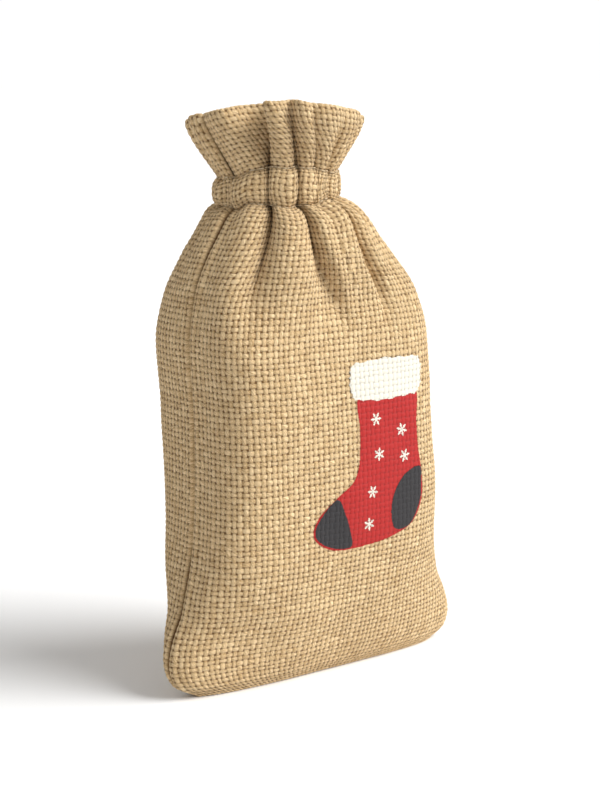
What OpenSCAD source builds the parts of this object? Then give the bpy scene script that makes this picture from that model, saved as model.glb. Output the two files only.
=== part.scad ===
// Drawstring gift sack of coarse burlap, filled and standing, with its neck drawn in.
// Millimetres. X runs along the bottom seam, -Y is the printed front, +Z is up.
// The origin is the middle of the flat patch of the bottom that the sack stands on.

/* [Sack] */
// Width between the side seams at mid height
body_w = 86; // [76:1:96]
// Depth from front to back at mid height
body_d = 53; // [46:1:60]
// Height of the body, from the floor to the underside of the drawstring channel
body_h = 158.5; // [140:0.5:180]
// How far the neck has slumped sideways, towards the left seam
lean = 15; // [0:1:17]

/* [Cloth] */
// Thickness of one layer of the cloth
cloth_t = 1.2; // [0.8:0.1:1.6]
// Width of the allowance inside each seam
seam_allowance = 6; // [4:0.5:8]
// Diameter of the sewing thread
thread_d = 0.5; // [0.4:0.1:0.8]

/* [Neck] */
// Radius of the drawstring channel at its fullest
channel_r = 21.5; // [20.5:0.5:24]
// Height of the drawstring channel between its two rows of stitches
channel_h = 11; // [10:0.5:13]
// Radius of the neck at the two rows of stitches
pinch_r = 19.5; // [18.5:0.5:20]
// Radius of the clear passage down through the gathered neck
passage_r = 10.5; // [9:0.5:11]
// Diameter of the drawstring
cord_d = 2.6; // [2:0.1:3]

/* [Ruffle] */
// Height of the ruffle above the channel, where it stands highest
ruffle_h = 25; // [20:0.5:30]
// How much lower the ruffle's opposite side is
ruffle_drop = 7; // [0:0.5:10]
// Radius of the ruffle's top edge, to the middle of its cloth
ruffle_r = 26.2; // [24:0.2:28]
// Number of gathers round the ruffle
gathers = 10; // [8:2:12]

/* [Print] */
// Width of the stocking print
print_w = 49; // [40:1:52]
// Height of the print's lowest point above the floor
print_z = 47; // [40:1:52]
// Distance from the panel's middle line to the print's left edge
print_left = -16; // [-22:1:-12]

/* [Hidden] */

CLOTH = "burlywood";
THREAD = "tan";
CORD = "wheat";
INK_RED = "firebrick";
INK_CREAM = "ivory";
INK_DARK = "darkslategray";

// Side profile of the filled body: share of body_h, half width as a share of body_w / 2,
// half depth as a share of body_d / 2, and squareness of the cross-section (2 is an ellipse).
PROFILE = [[0.000, 1.16, 0.34, 2.6], [0.025, 1.35, 0.49, 2.4], [0.063, 1.42, 0.61, 2.3],
           [0.114, 1.36, 0.72, 2.4], [0.177, 1.26, 0.81, 2.8], [0.285, 1.12, 0.91, 4.0],
           [0.410, 1.04, 0.96, 5.0], [0.580, 1.00, 1.00, 5.6], [0.740, 0.99, 1.01, 5.4],
           [0.835, 0.91, 0.98, 4.2], [0.918, 0.75, 0.92, 3.2], [0.965, 0.61, 0.85, 2.6]];
ROWS = 26;
FOOT_ROWS = 4; // of those, the rows that round the bottom edge
COLUMNS = 32;
EASE = 0.4; // clearance between a seam allowance and the cloth round it
THREAD_GAP = 0.05; // clearance between a thread and the cloth that it lies on

channel_z = body_h + channel_h / 2;
neck_x = -lean;
bulge = channel_r - pinch_r;
bulge_r = (pow(channel_h / 2, 2) + bulge * bulge) / (2 * bulge);
cord_r = 14;
cord_bore_r = cord_d / 2 + 0.7;
slit_half_angle = 14; // the side seam is open this far on each side of +X
knot_r = 2.2;
knot_x = cord_r + 2.6;
tail_len = 2;
tail_d = cord_d * 0.7;
stitch_len = 2.6;
stitch_pitch = 3.4;
ink_gap = 0.15;
ink_t = 0.25;
waist_r = 16.2;
ruffle_t = 2 * cloth_t - 0.2;
RUFFLE_ROWS = 6;
HIGH_SIDE = 240; // direction, round the neck, in which the ruffle stands highest
RUFFLE_STEPS = 8; // facets along each gather

// ---- The body's outline ----

// Value number k of the profile at height share s, on a smooth curve through the points.
function spline(p, q, r, t, u) =
    0.5 * (2 * q + (r - p) * u + (2 * p - 5 * q + 4 * r - t) * u * u + (3 * q - p - 3 * r + t) * u * u * u);
function last_below(s, i = 0) = i + 2 >= len(PROFILE) || PROFILE[i + 1][0] > s ? i : last_below(s, i + 1);
function row_of(i) = PROFILE[min(max(i, 0), len(PROFILE) - 1)];
function profile(s, k) =
    let (i = last_below(s), a = row_of(i), b = row_of(i + 1), u = (s - a[0]) / (b[0] - a[0]))
    spline(row_of(i - 1)[k], a[k], b[k], row_of(i + 2)[k], min(max(u, 0), 1));

// Over the last stretch below the channel the body closes in to the neck's circle.
top_share = PROFILE[len(PROFILE) - 1][0];
function closing(s) = s <= top_share ? 0 : (s - top_share) / (1 - top_share);
function half_w(s) = profile(s, 1) * body_w / 2 * (1 - closing(s)) + pinch_r * closing(s);
function half_d(s) = profile(s, 2) * body_d / 2 * (1 - closing(s)) + pinch_r * closing(s);
function squareness(s) = profile(s, 3) * (1 - closing(s)) + 2 * closing(s);
foot_share = PROFILE[2][0];
// The lean is a steady slope, with the neck flopping over a little more at the top.
function middle_x(s) = neck_x * (0.75 * s + 0.25 * pow(s, 6));

// Point on the cross-section at height share s, set in by t; side is -1 for the front.
function section_point(s, angle, t, side) =
    let (power = 2 / squareness(s), c = cos(angle), d = sin(angle))
    [middle_x(s) + (half_w(s) - t) * sign(c) * pow(abs(c), power),
     side * (half_d(s) - t) * pow(max(d, 0), power),
     max(s * body_h, t)];

// The first row is the bottom seam, where the two panels meet under the sack.
function seam_row_point(angle, t) =
    [0.94 * (half_w(0) - t) * sign(cos(angle)) * pow(abs(cos(angle)), 2 / squareness(0)), 0, t];
function share_of(row) = row <= FOOT_ROWS ? row * foot_share / FOOT_ROWS
    : foot_share + (row - FOOT_ROWS) * (1 - foot_share) / (ROWS - FOOT_ROWS);
function panel_skin(t, side) = concat(
    [for (j = [0:COLUMNS]) seam_row_point(180 - 180 * j / COLUMNS, t)],
    [for (i = [0:ROWS]) for (j = [0:COLUMNS]) section_point(share_of(i), 180 - 180 * j / COLUMNS, t, side)]);

// ---- Closed sheets ----

// Triangles of a grid of points that is n wide and m high and starts at point s. The cells are
// cut along mirrored diagonals on the two halves, so that no triangle at a corner is flat.
function turned(face, flip) = flip ? [face[2], face[1], face[0]] : face;
function grid_faces(n, m, s, flip) = [for (i = [0:m - 2]) for (j = [0:n - 2])
    let (a = s + i * n + j, b = a + 1, c = a + n, d = c + 1)
    each 2 * j < n - 2 ? [turned([a, c, d], flip), turned([a, d, b], flip)]
                       : [turned([a, c, b], flip), turned([b, c, d], flip)]];
// The rim that joins the edges of two such grids, the second starting at point s.
function rim_faces(n, m, s, flip) =
    let (edge = concat([for (j = [0:n - 1]) j],
                       [for (i = [1:m - 1]) i * n + n - 1],
                       [for (j = [n - 2:-1:0]) (m - 1) * n + j],
                       [for (i = [m - 2:-1:1]) i * n]),
         k = len(edge))
    [for (e = [0:k - 1]) let (a = edge[e], b = edge[(e + 1) % k])
        each [turned([a, b, a + s], flip), turned([b, b + s, a + s], flip)]];
// A closed sheet between an outer and an inner grid of points, each n wide and m high.
module sheet(outer, inner, n, m, flip) {
    s = n * m;
    polyhedron(concat(outer, inner),
               concat(grid_faces(n, m, 0, flip), grid_faces(n, m, s, !flip), rim_faces(n, m, s, flip)));
}

module panel(side) {
    color(CLOTH)
    sheet(panel_skin(0, side), panel_skin(cloth_t, side), COLUMNS + 1, ROWS + 2, side > 0);
}

// ---- The drawstring channel and the ruffle ----

// One half of the gathered channel: a ring with a bore that holds the drawstring.
module channel(from, to) {
    color(CLOTH)
    translate([neck_x, 0, channel_z])
    rotate([0, 0, from])
    rotate_extrude(angle = to - from, $fn = 96)
    difference() {
        intersection() {
            translate([channel_r - bulge_r, 0]) circle(r = bulge_r, $fn = 96);
            translate([passage_r, -channel_h / 2]) square([2 * bulge_r, channel_h]);
        }
        translate([cord_r, 0]) circle(r = cord_bore_r, $fn = 48);
    }
}

// Cloth line of the ruffle: share h of the way up, at an angle round the neck.
function wave(h) = 2.9 + 0.4 * h;
function flare(h) = waist_r + (ruffle_r - waist_r) * pow(h, 0.85);
function ruffle_top(angle) = ruffle_h - ruffle_drop * (1 - cos(angle - HIGH_SIDE)) / 2;
function ruffle_point(h, angle, t) =
    let (r = flare(h) + wave(h) * cos(gathers * angle) + t)
    [neck_x + r * cos(angle), r * sin(angle), body_h + channel_h + h * ruffle_top(angle)];
module ruffle(from) {
    steps = gathers * RUFFLE_STEPS / 2;
    function skin(t) = [for (i = [0:RUFFLE_ROWS]) for (j = [0:steps])
        ruffle_point(i / RUFFLE_ROWS, from + 180 * j / steps, t)];
    color(CLOTH)
    sheet(skin(ruffle_t / 2), skin(-ruffle_t / 2), steps + 1, RUFFLE_ROWS + 1, false);
}

// ---- Seams ----

SEAM_FROM = PROFILE[1][0];
SEAM_TO = 0.955;
SEAM_STEPS = 20;
function seam_x(s, inset, side) = middle_x(s) + side * (half_w(s) - cloth_t - inset);
function seam_share(k, n) = SEAM_FROM + (SEAM_TO - SEAM_FROM) * k / n;
// Flat strip inside a side seam, between two distances in from the cloth.
module side_strip(side, inner, outer, thick) {
    shares = [for (k = [0:SEAM_STEPS]) seam_share(k, SEAM_STEPS)];
    rotate([90, 0, 0])
    linear_extrude(height = thick, center = true)
    polygon(concat([for (s = shares) [seam_x(s, outer, side), s * body_h]],
                   [for (k = [SEAM_STEPS:-1:0]) [seam_x(shares[k], inner, side), shares[k] * body_h]]));
}
module side_allowance(side) {
    color(CLOTH) side_strip(side, seam_allowance, EASE, 2 * cloth_t);
}
stitch_inset = 2; // from the seam line to the row of stitches
stitch_y = cloth_t + thread_d / 2 + THREAD_GAP;
// Row of straight stitches on both faces of a side seam's allowance.
module side_stitches(side) {
    count = floor((SEAM_TO - SEAM_FROM) * body_h / stitch_pitch);
    color(THREAD)
    for (k = [0:count - 1], face = [-1, 1])
        let (s = seam_share(k + 0.5, count), next = seam_share(k + 1, count),
             x = seam_x(s, stitch_inset, side),
             run = seam_x(next, stitch_inset, side) - x,
             rise = (next - s) * body_h)
        translate([x, face * stitch_y, s * body_h])
        rotate([0, atan2(run, rise), 0])
        cylinder(d = thread_d, h = stitch_len, center = true, $fn = 24);
}
// Thread that binds the raw edges of a side seam.
overlock_w = 1;
overlock_t = 2 * cloth_t + thread_d;
module side_overlock(side) {
    color(THREAD) side_strip(side, seam_allowance + overlock_w, seam_allowance + THREAD_GAP, overlock_t);
}
bottom_seam_half = 40;
bottom_seam_low = cloth_t + EASE;
module bottom_allowance() {
    color(CLOTH)
    translate([-bottom_seam_half, -cloth_t, bottom_seam_low])
    cube([2 * bottom_seam_half, 2 * cloth_t, seam_allowance]);
}
module bottom_stitches() {
    count = floor(2 * bottom_seam_half / stitch_pitch);
    color(THREAD)
    for (k = [0:count - 1], face = [-1, 1])
        translate([(k - (count - 1) / 2) * stitch_pitch, face * stitch_y, bottom_seam_low + stitch_inset])
        rotate([0, 90, 0])
        cylinder(d = thread_d, h = stitch_len, center = true, $fn = 24);
}
module bottom_overlock() {
    color(THREAD)
    translate([-bottom_seam_half, -overlock_t / 2, bottom_seam_low + seam_allowance + THREAD_GAP])
    cube([2 * bottom_seam_half, overlock_t, overlock_w]);
}

// Row of stitches round the neck, on the channel's surface at height z from its middle.
channel_stitches = 36;
stitch_row_z = channel_h / 2 - 0.6;
function channel_surface(z) = channel_r - bulge_r + sqrt(bulge_r * bulge_r - z * z);
module channel_row(z) {
    reach = channel_surface(z) + thread_d / 2 + THREAD_GAP;
    arc = stitch_len / reach * 180 / PI;
    color(THREAD)
    translate([neck_x, 0, channel_z + z])
    for (k = [0:channel_stitches - 1])
        let (angle = (k + 0.5) * 360 / channel_stitches)
        if (min(angle, 360 - angle) > slit_half_angle + arc / 2)
            rotate([0, 0, angle - arc / 2])
            rotate_extrude(angle = arc, $fn = 96)
            translate([reach, 0]) circle(d = thread_d, $fn = 24);
}
// Dense block of stitches that stops the side seam from tearing at an end of the cord slit.
tack_w = 3;
tack_h = 1.2;
tack_t = 0.6;
upper_tack_r = waist_r + wave(0) + ruffle_t / 2 + 1.2; // just clear of the flaring ruffle
lower_tack_r = pinch_r + 2.6; // just clear of the widening body
module bar_tack(r, z) {
    color(THREAD)
    translate([neck_x + r, -tack_w / 2, z - tack_h / 2])
    cube([tack_t, tack_w, tack_h]);
}

// ---- The drawstring ----

// Closed loop in the channel, its two ends knotted together in the slit at the right seam.
module drawstring() {
    color(CORD)
    translate([neck_x, 0, channel_z]) {
        rotate_extrude($fn = 96) translate([cord_r, 0]) circle(d = cord_d, $fn = 36);
        translate([knot_x, 0, 0]) sphere(r = knot_r, $fn = 48);
        for (tilt = [-40, 40])
            translate([knot_x, 0, 0])
            rotate([0, 90 + tilt, 0])
            cylinder(d = tail_d, h = knot_r + tail_len, $fn = 36);
    }
}

// ---- The print ----

// Each area of ink is a ribbon: pairs of points on its left and right edges, from the top down,
// in a box 49 wide and 63 high with its corner at the print's lower left.
CUFF = [[[20, 63], [45.5, 63]], [[17.6, 61.5], [48.2, 61]], [[16.6, 57], [49, 56]],
        [[17, 52], [48.4, 51]], [[19.5, 50], [46.5, 48.5]]];
STOCKING = [[[20.5, 49.4], [45.5, 48]], [[20, 40], [45.5, 40]], [[19.4, 32], [46, 31]],
            [[18.4, 26.5], [47.6, 22]], [[16, 23], [48.2, 13]], [[13.5, 20.8], [43.5, 4.6]],
            [[10, 19.2], [33, 1.2]], [[6, 17.4], [21, 0]], [[2.6, 14.8], [10, 0.6]], [[0, 10.6], [3.8, 3]]];
HEEL = [[[38, 22], [47, 24]], [[35, 17], [47.6, 16.4]], [[33.5, 11], [46.2, 8.4]], [[33, 5.6], [41, 3.4]]];
TOE = [[[9.9, 18.6], [16.4, 0.8]], [[6.2, 16.8], [12, 0.8]],
       [[2.9, 14.2], [7.6, 1.4]], [[0.6, 10.2], [3.6, 3.8]]];
FLAKES = [[27, 43], [38.5, 38], [28, 31], [39.5, 29], [25, 18.5], [23.5, 7.5]];
flake_r = 1.9;
INK_COLUMNS = 10;

print_scale = print_w / 49; // 49 is the width of the box above
function front_y(x, z) =
    let (s = z / body_h, n = squareness(s), u = min(abs(x - middle_x(s)) / half_w(s), 1))
    -half_d(s) * pow(1 - pow(u, n), 1 / n);
function on_front(p, t) =
    let (z = print_z + p[1] * print_scale, x = print_left + p[0] * print_scale + middle_x(z / body_h))
    [x, front_y(x, z) - t, z];
module ink(ribbon, lift) {
    function skin(t) = [for (row = ribbon) for (j = [0:INK_COLUMNS])
        on_front(row[0] + (row[1] - row[0]) * j / INK_COLUMNS, t)];
    sheet(skin(lift), skin(lift + ink_t), INK_COLUMNS + 1, len(ribbon), false);
}
// Six-pointed flake of three crossed bars, flat on the ink below it.
module flake(p, lift) {
    place = on_front(p, lift);
    translate(place)
    rotate([90, 0, 0])
    linear_extrude(height = ink_t)
    for (turn = [0:60:120])
        rotate(turn) square([2 * flake_r, 0.6], center = true);
}
second_lift = ink_gap + ink_t + 0.1;

panel(-1);  // front_panel
panel(1);  // back_panel
channel(180, 360 - slit_half_angle);  // front_channel
channel(slit_half_angle, 180);  // back_channel
ruffle(180);  // front_ruffle
ruffle(0);  // back_ruffle
side_allowance(-1);  // left_seam_allowance
side_allowance(1);  // right_seam_allowance
bottom_allowance();  // bottom_seam_allowance
side_stitches(-1);  // left_seam_stitches
side_stitches(1);  // right_seam_stitches
bottom_stitches();  // bottom_seam_stitches
side_overlock(-1);  // left_seam_overlock
side_overlock(1);  // right_seam_overlock
bottom_overlock();  // bottom_seam_overlock
channel_row(stitch_row_z);  // channel_upper_stitches
channel_row(-stitch_row_z);  // channel_lower_stitches
bar_tack(upper_tack_r, body_h + channel_h + 0.9);  // upper_bar_tack
bar_tack(lower_tack_r, body_h - 0.9);  // lower_bar_tack
drawstring();
color(INK_CREAM) ink(CUFF, ink_gap);  // print_cuff
color(INK_RED) ink(STOCKING, ink_gap);  // print_stocking
color(INK_DARK) ink(HEEL, second_lift);  // print_heel
color(INK_DARK) ink(TOE, second_lift);  // print_toe
color(INK_CREAM) for (p = FLAKES) flake(p, second_lift);  // print_snowflakes
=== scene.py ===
"""Drawstring gift sack of coarse burlap, filled and standing with its neck drawn in.

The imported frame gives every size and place. This script replaces its plain cloth with woven
cloth that gathers, folds and shows its threads, and dresses every piece.
"""
import logging
import math
from dataclasses import dataclass, field
from enum import Enum

import bmesh
import bpy
import numpy as np
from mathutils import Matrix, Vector


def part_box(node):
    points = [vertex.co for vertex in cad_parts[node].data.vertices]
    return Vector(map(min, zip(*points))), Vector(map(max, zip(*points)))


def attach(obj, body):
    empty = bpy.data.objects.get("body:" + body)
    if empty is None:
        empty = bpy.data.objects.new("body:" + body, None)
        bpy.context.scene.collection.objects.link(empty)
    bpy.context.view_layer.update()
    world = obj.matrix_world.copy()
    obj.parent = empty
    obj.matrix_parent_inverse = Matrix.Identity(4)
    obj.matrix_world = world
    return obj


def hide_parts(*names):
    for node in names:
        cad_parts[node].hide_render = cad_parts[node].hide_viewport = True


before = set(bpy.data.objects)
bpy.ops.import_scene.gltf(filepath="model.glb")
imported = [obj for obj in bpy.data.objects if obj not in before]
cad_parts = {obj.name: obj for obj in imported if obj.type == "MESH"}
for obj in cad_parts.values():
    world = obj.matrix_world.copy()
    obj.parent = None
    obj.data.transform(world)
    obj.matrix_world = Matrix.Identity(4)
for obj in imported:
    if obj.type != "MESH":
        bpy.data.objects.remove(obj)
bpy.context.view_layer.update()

log = logging.getLogger("gift_sack")
MM = 0.001
SACK = "sack"
THREADS_UV = "threads"


# ---------------------------------------------------------------- helpers


def smoothstep(low: float, high: float, x: np.ndarray) -> np.ndarray:
    """Return a smooth rise from 0 at low to 1 at high.

    Args:
        low: Where the rise starts.
        high: Where it ends.
        x: Values to place on it.

    Returns:
        The rise at each value.
    """
    u = np.clip((np.asarray(x, dtype=float) - low) / (high - low), 0.0, 1.0)
    return u * u * (3 - 2 * u)


def spread_evenly(line: np.ndarray, count: int) -> tuple[np.ndarray, np.ndarray]:
    """Place points at equal steps along a line.

    Args:
        line: Points of the line, in order, as rows.
        count: How many points to place.

    Returns:
        The points, and the length of the line.
    """
    steps = np.linalg.norm(np.diff(line[:, :3], axis=0), axis=1)
    run = np.concatenate([[0.0], np.cumsum(steps)])
    want = np.linspace(0.0, run[-1], count)
    return np.stack([np.interp(want, run, line[:, k]) for k in range(line.shape[1])], axis=1), run[-1]


def length_of(line: np.ndarray) -> float:
    """Return the length of a line of points."""
    return float(np.linalg.norm(np.diff(line, axis=0), axis=1).sum())


def spline(p: np.ndarray, q: np.ndarray, r: np.ndarray, s: np.ndarray, u: np.ndarray) -> np.ndarray:
    """Return values on a smooth curve through four knots.

    Args:
        p: The knot before.
        q: The knot at the start.
        r: The knot at the end.
        s: The knot after.
        u: Share of the way from q to r.

    Returns:
        The value at each share.
    """
    square, cube = 2 * p - 5 * q + 4 * r - s, 3 * q - p - 3 * r + s
    return 0.5 * (2 * q + (r - p) * u + square * u**2 + cube * u**3)


def between(low: tuple[float, ...], high: tuple[float, ...], share: float) -> np.ndarray:
    """Return a row of numbers that lies a share of the way between two rows."""
    return np.array(low) * (1 - share) + np.array(high) * share


def lattice_noise(x: np.ndarray, y: np.ndarray, seed: int) -> np.ndarray:
    """Return smooth noise from -1 to 1 on a unit lattice.

    Args:
        x: First coordinate, in cells.
        y: Second coordinate, in cells.
        seed: Which pattern to use.

    Returns:
        The noise at each point.
    """
    side = 256
    table = np.random.default_rng(seed).uniform(-1.0, 1.0, (side, side))
    i, j = np.floor(x).astype(int), np.floor(y).astype(int)
    u, v = x - i, y - j
    u, v = u * u * (3 - 2 * u), v * v * (3 - 2 * v)
    a = table[i % side, j % side] * (1 - u) + table[(i + 1) % side, j % side] * u
    b = table[i % side, (j + 1) % side] * (1 - u) + table[(i + 1) % side, (j + 1) % side] * u
    return a * (1 - v) + b * v


def grid_normals(points: np.ndarray) -> np.ndarray:
    """Return the unit normals of a grid of points.

    Args:
        points: Positions, as rows by columns by three.

    Returns:
        One normal for each point, turned so that rows cross columns outwards.
    """
    along = np.gradient(points, axis=1)
    up = np.gradient(points, axis=0)
    normals = np.cross(along, up)
    return normals / np.maximum(np.linalg.norm(normals, axis=2, keepdims=True), 1e-12)


def make_grid_piece(
    name: str, points: np.ndarray, threads: np.ndarray, flip: bool = False
) -> bpy.types.Object:
    """Make a cloth piece from a grid and give it its thread map.

    Args:
        name: The piece's name.
        points: Positions in metres, as rows by columns by three.
        threads: Thread numbers across and along, as rows by columns by two.
        flip: True if the grid's faces have to be turned over.

    Returns:
        The new object.
    """
    rows, columns = points.shape[:2]
    mesh = bpy.data.meshes.new(name)
    bm = bmesh.new()
    bmesh.ops.create_grid(bm, x_segments=columns - 1, y_segments=rows - 1, size=1.0)
    if flip:
        bmesh.ops.reverse_faces(bm, faces=bm.faces)
    bm.to_mesh(mesh)
    bm.free()
    flat = np.empty(len(mesh.vertices) * 3)
    mesh.vertices.foreach_get("co", flat)
    flat = flat.reshape(-1, 3)
    column = np.rint((flat[:, 0] + 1) / 2 * (columns - 1)).astype(int)
    row = np.rint((flat[:, 1] + 1) / 2 * (rows - 1)).astype(int)
    mesh.vertices.foreach_set("co", points[row, column].ravel())
    corner = np.empty(len(mesh.loops), dtype=int)
    mesh.loops.foreach_get("vertex_index", corner)
    uv = mesh.uv_layers.new(name=THREADS_UV)
    uv.data.foreach_set("uv", threads[row[corner], column[corner]].ravel())
    mesh.polygons.foreach_set("use_smooth", np.ones(len(mesh.polygons), dtype=bool))
    mesh.update()
    piece = bpy.data.objects.new(name, mesh)
    bpy.context.collection.objects.link(piece)
    return piece


def place(piece: bpy.types.Object, material: bpy.types.Material, slot: str, body: str, *nodes: str) -> None:
    """Dress a piece, let it ride on a body and stand for CAD nodes.

    Args:
        piece: The new piece.
        material: Its finish.
        slot: The record's material slot; not used.
        body: The body that it rides on.
        nodes: The CAD nodes that it replaces.
    """
    piece.data.materials.clear()
    piece.data.materials.append(material)
    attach(piece, body)
    if nodes:
        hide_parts(*nodes)
    log.info("%s: %d faces", piece.name, len(piece.data.polygons))


# ---------------------------------------------------------------- the cloth's shape


@dataclass(frozen=True)
class Weave:
    """Plain weave of thick, uneven yarn.

    Attributes:
        threads_across: Threads in the width of one panel.
        samples: Mesh points for each thread.
        relief: Height of a crossing over a gap, in metres.
        wander: How far a thread strays from its straight line, in threads.
        yarn: Half width of a yarn, in threads.
        level: Height of a yarn's crown where it neither rises nor dips, as a share of the relief.
        crimp: How far a yarn rises over the next one and dips under it, as a share of the relief.
        middle: Height that lies on the smooth cloth, as a share of the relief.
    """

    threads_across: int = 64
    samples: int = 4
    relief: float = 0.44 * MM
    wander: float = 0.15
    yarn: float = 0.47
    level: float = 0.55
    crimp: float = 0.45
    middle: float = 0.6

    @property
    def columns(self) -> int:
        """Return how many mesh points one panel's width takes."""
        return self.threads_across * self.samples + 1

    def stray(self, across: np.ndarray, along: np.ndarray, seed: int) -> np.ndarray:
        """Let the threads wander and vary in width.

        Args:
            across: Straight thread numbers across the cloth.
            along: Straight thread numbers along it.
            seed: Which pattern to use.

        Returns:
            The uneven thread numbers, with a last axis of two.
        """
        wide = self.wander * lattice_noise(across / 1.3, along / 14.0, seed)
        wide += 0.5 * self.wander * lattice_noise(across / 5.0, along / 5.0, seed + 1)
        tall = self.wander * lattice_noise(along / 1.3, across / 14.0, seed + 2)
        tall += 0.5 * self.wander * lattice_noise(across / 5.0, along / 5.0, seed + 3)
        return np.stack([across + wide, along + tall], axis=-1)

    def height(self, threads: np.ndarray) -> np.ndarray:
        """Return the height of the weave's upper face.

        Args:
            threads: Thread numbers across and along, with a last axis of two.

        Returns:
            Height in metres, with 0 at the middle of the cloth.
        """
        s, t = threads[..., 0], threads[..., 1]
        u, v = s - np.floor(s) - 0.5, t - np.floor(t) - 0.5
        warp_side = 1 - 2 * (np.floor(s) % 2)
        weft_side = 1 - 2 * (np.floor(t) % 2)
        round_warp = np.sqrt(np.clip(1 - (u / self.yarn) ** 2, 0, 1))
        round_weft = np.sqrt(np.clip(1 - (v / self.yarn) ** 2, 0, 1))
        warp = round_warp * (self.level + self.crimp * warp_side * np.sin(math.pi * t))
        weft = round_weft * (self.level - self.crimp * weft_side * np.sin(math.pi * s))
        return self.relief * (np.maximum(warp, weft) - self.middle)


@dataclass(frozen=True)
class Filled:
    """Outline of the filled body, from the frame's boxes.

    Attributes:
        height: From the floor to the drawstring channel.
        half_width: Half width between the seams at mid height.
        half_depth: Half depth at mid height.
        neck_x: Where the middle of the neck has slumped to.
        slump: Share of the neck's lean that grows evenly with height; the rest comes near the top.
        slump_late: Power of the height share at which the rest comes.
        foot_x: How far the foot lies to the right of the middle, in metres.
        foot_by: Height share over which it comes back.
        profile: Height share, shares of the half width and half depth, and squareness.
    """

    WIDEST = 1.42
    FULLEST = 1.01

    height: float
    half_width: float
    half_depth: float
    neck_x: float
    slump: float = 0.68
    slump_late: float = 14.0
    foot_x: float = 1.3 * MM
    foot_by: float = 0.12
    profile: tuple[tuple[float, float, float, float], ...] = (
        (0.000, 1.18, 0.24, 2.8),
        (0.025, 1.34, 0.36, 2.4),
        (0.063, 1.40, 0.49, 2.1),
        (0.114, 1.36, 0.62, 2.1),
        (0.177, 1.24, 0.76, 2.4),
        (0.285, 1.12, 0.91, 3.3),
        (0.410, 1.05, 0.98, 4.0),
        (0.580, 1.01, 1.02, 4.2),
        (0.740, 1.00, 1.03, 4.2),
        (0.835, 0.92, 1.00, 3.8),
        (0.918, 0.79, 0.93, 3.0),
        (0.965, 0.68, 0.86, 2.5),
        (0.990, 0.59, 0.84, 2.2),
        (1.000, 0.53, 0.82, 2.0),
    )

    @classmethod
    def from_frame(cls) -> "Filled":
        """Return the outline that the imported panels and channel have."""
        low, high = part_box("front_panel")
        ring_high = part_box("back_channel")[1]
        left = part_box("front_channel")[0].x
        radius = ring_high.y
        return cls(high.z, (high.x - low.x) / (2 * cls.WIDEST), -low.y / cls.FULLEST, left + radius)

    def value(self, share: np.ndarray, column: int) -> np.ndarray:
        """Return one column of the profile on a smooth curve.

        Args:
            share: Height as a share of the body's height.
            column: Which column of the profile.

        Returns:
            The value at each height.
        """
        rows = np.array(self.profile)
        i = np.clip(np.searchsorted(rows[:, 0], share, side="right") - 1, 0, len(rows) - 2)
        last = len(rows) - 1
        p, q = rows[np.maximum(i - 1, 0), column], rows[i, column]
        r, s = rows[i + 1, column], rows[np.minimum(i + 2, last), column]
        u = np.clip((share - rows[i, 0]) / (rows[i + 1, 0] - rows[i, 0]), 0, 1)
        return spline(p, q, r, s, u)

    def middle_x(self, share: float) -> float:
        """Return how far the middle has leaned at a height share."""
        lean = self.slump * share + (1 - self.slump) * share**self.slump_late
        return self.neck_x * lean + self.foot_x * math.exp(-((share / self.foot_by) ** 2))


class Half(Enum):
    """The two panels. The value is the side of the seams that the panel lies on, along Y."""

    FRONT = -1
    BACK = 1


@dataclass(frozen=True)
class Gathers:
    """Where one half's folds lie, as shares of the way from the left seam to the right one.

    Attributes:
        body: The folds just below the channel.
        foot: Where they lie further down, as they fan out over the shoulders.
        reach: How far down the body each fold runs, in metres.
        channel: The creases between the channel's puffs.
        ruffle: The valleys between the ruffle's lobes, at its top edge.
        deep: How deep each valley of the body and the channel is, against the others.
        open: How deep each valley of the ruffle is, against the others.
        pocket: Where the ruffle's top edge is pushed in, as a share, and how far, in metres.
    """

    body: tuple[float, ...]
    foot: tuple[float, ...]
    reach: tuple[float, ...]
    channel: tuple[float, ...]
    ruffle: tuple[float, ...]
    deep: tuple[float, ...]
    open: tuple[float, ...]
    pocket: tuple[float, float]


GATHERS = {
    Half.FRONT: Gathers(
        body=(0.215, 0.385, 0.485, 0.60, 0.71, 0.81, 0.91),
        foot=(0.205, 0.490, 0.560, 0.645, 0.74, 0.83, 0.92),
        reach=(50 * MM, 44 * MM, 12 * MM, 44 * MM, 20 * MM, 38 * MM, 24 * MM),
        channel=(0.215, 0.39, 0.50, 0.60, 0.72, 0.82, 0.91),
        ruffle=(0.225, 0.380, 0.46, 0.60, 0.76, 0.86, 0.94),
        deep=(1.0, 1.0, 0.12, 0.85, 0.2, 0.6, 0.3),
        open=(1.0, 0.55, 0.18, 0.12, 0.45, 0.5, 0.35),
        pocket=(0.205, 5.0 * MM),
    ),
    Half.BACK: Gathers(
        body=(0.13, 0.26, 0.38, 0.50, 0.63, 0.75, 0.88),
        foot=(0.11, 0.24, 0.36, 0.50, 0.64, 0.77, 0.90),
        reach=(30 * MM, 40 * MM, 22 * MM, 44 * MM, 20 * MM, 40 * MM, 28 * MM),
        channel=(0.13, 0.27, 0.38, 0.51, 0.63, 0.76, 0.88),
        ruffle=(0.12, 0.24, 0.40, 0.54, 0.64, 0.78, 0.88),
        deep=(0.5, 1.0, 0.4, 1.0, 0.3, 1.0, 0.5),
        open=(0.8, 1.0, 0.6, 1.0, 0.5, 0.9, 0.7),
        pocket=(0.60, 1.5 * MM),
    ),
}


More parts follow.
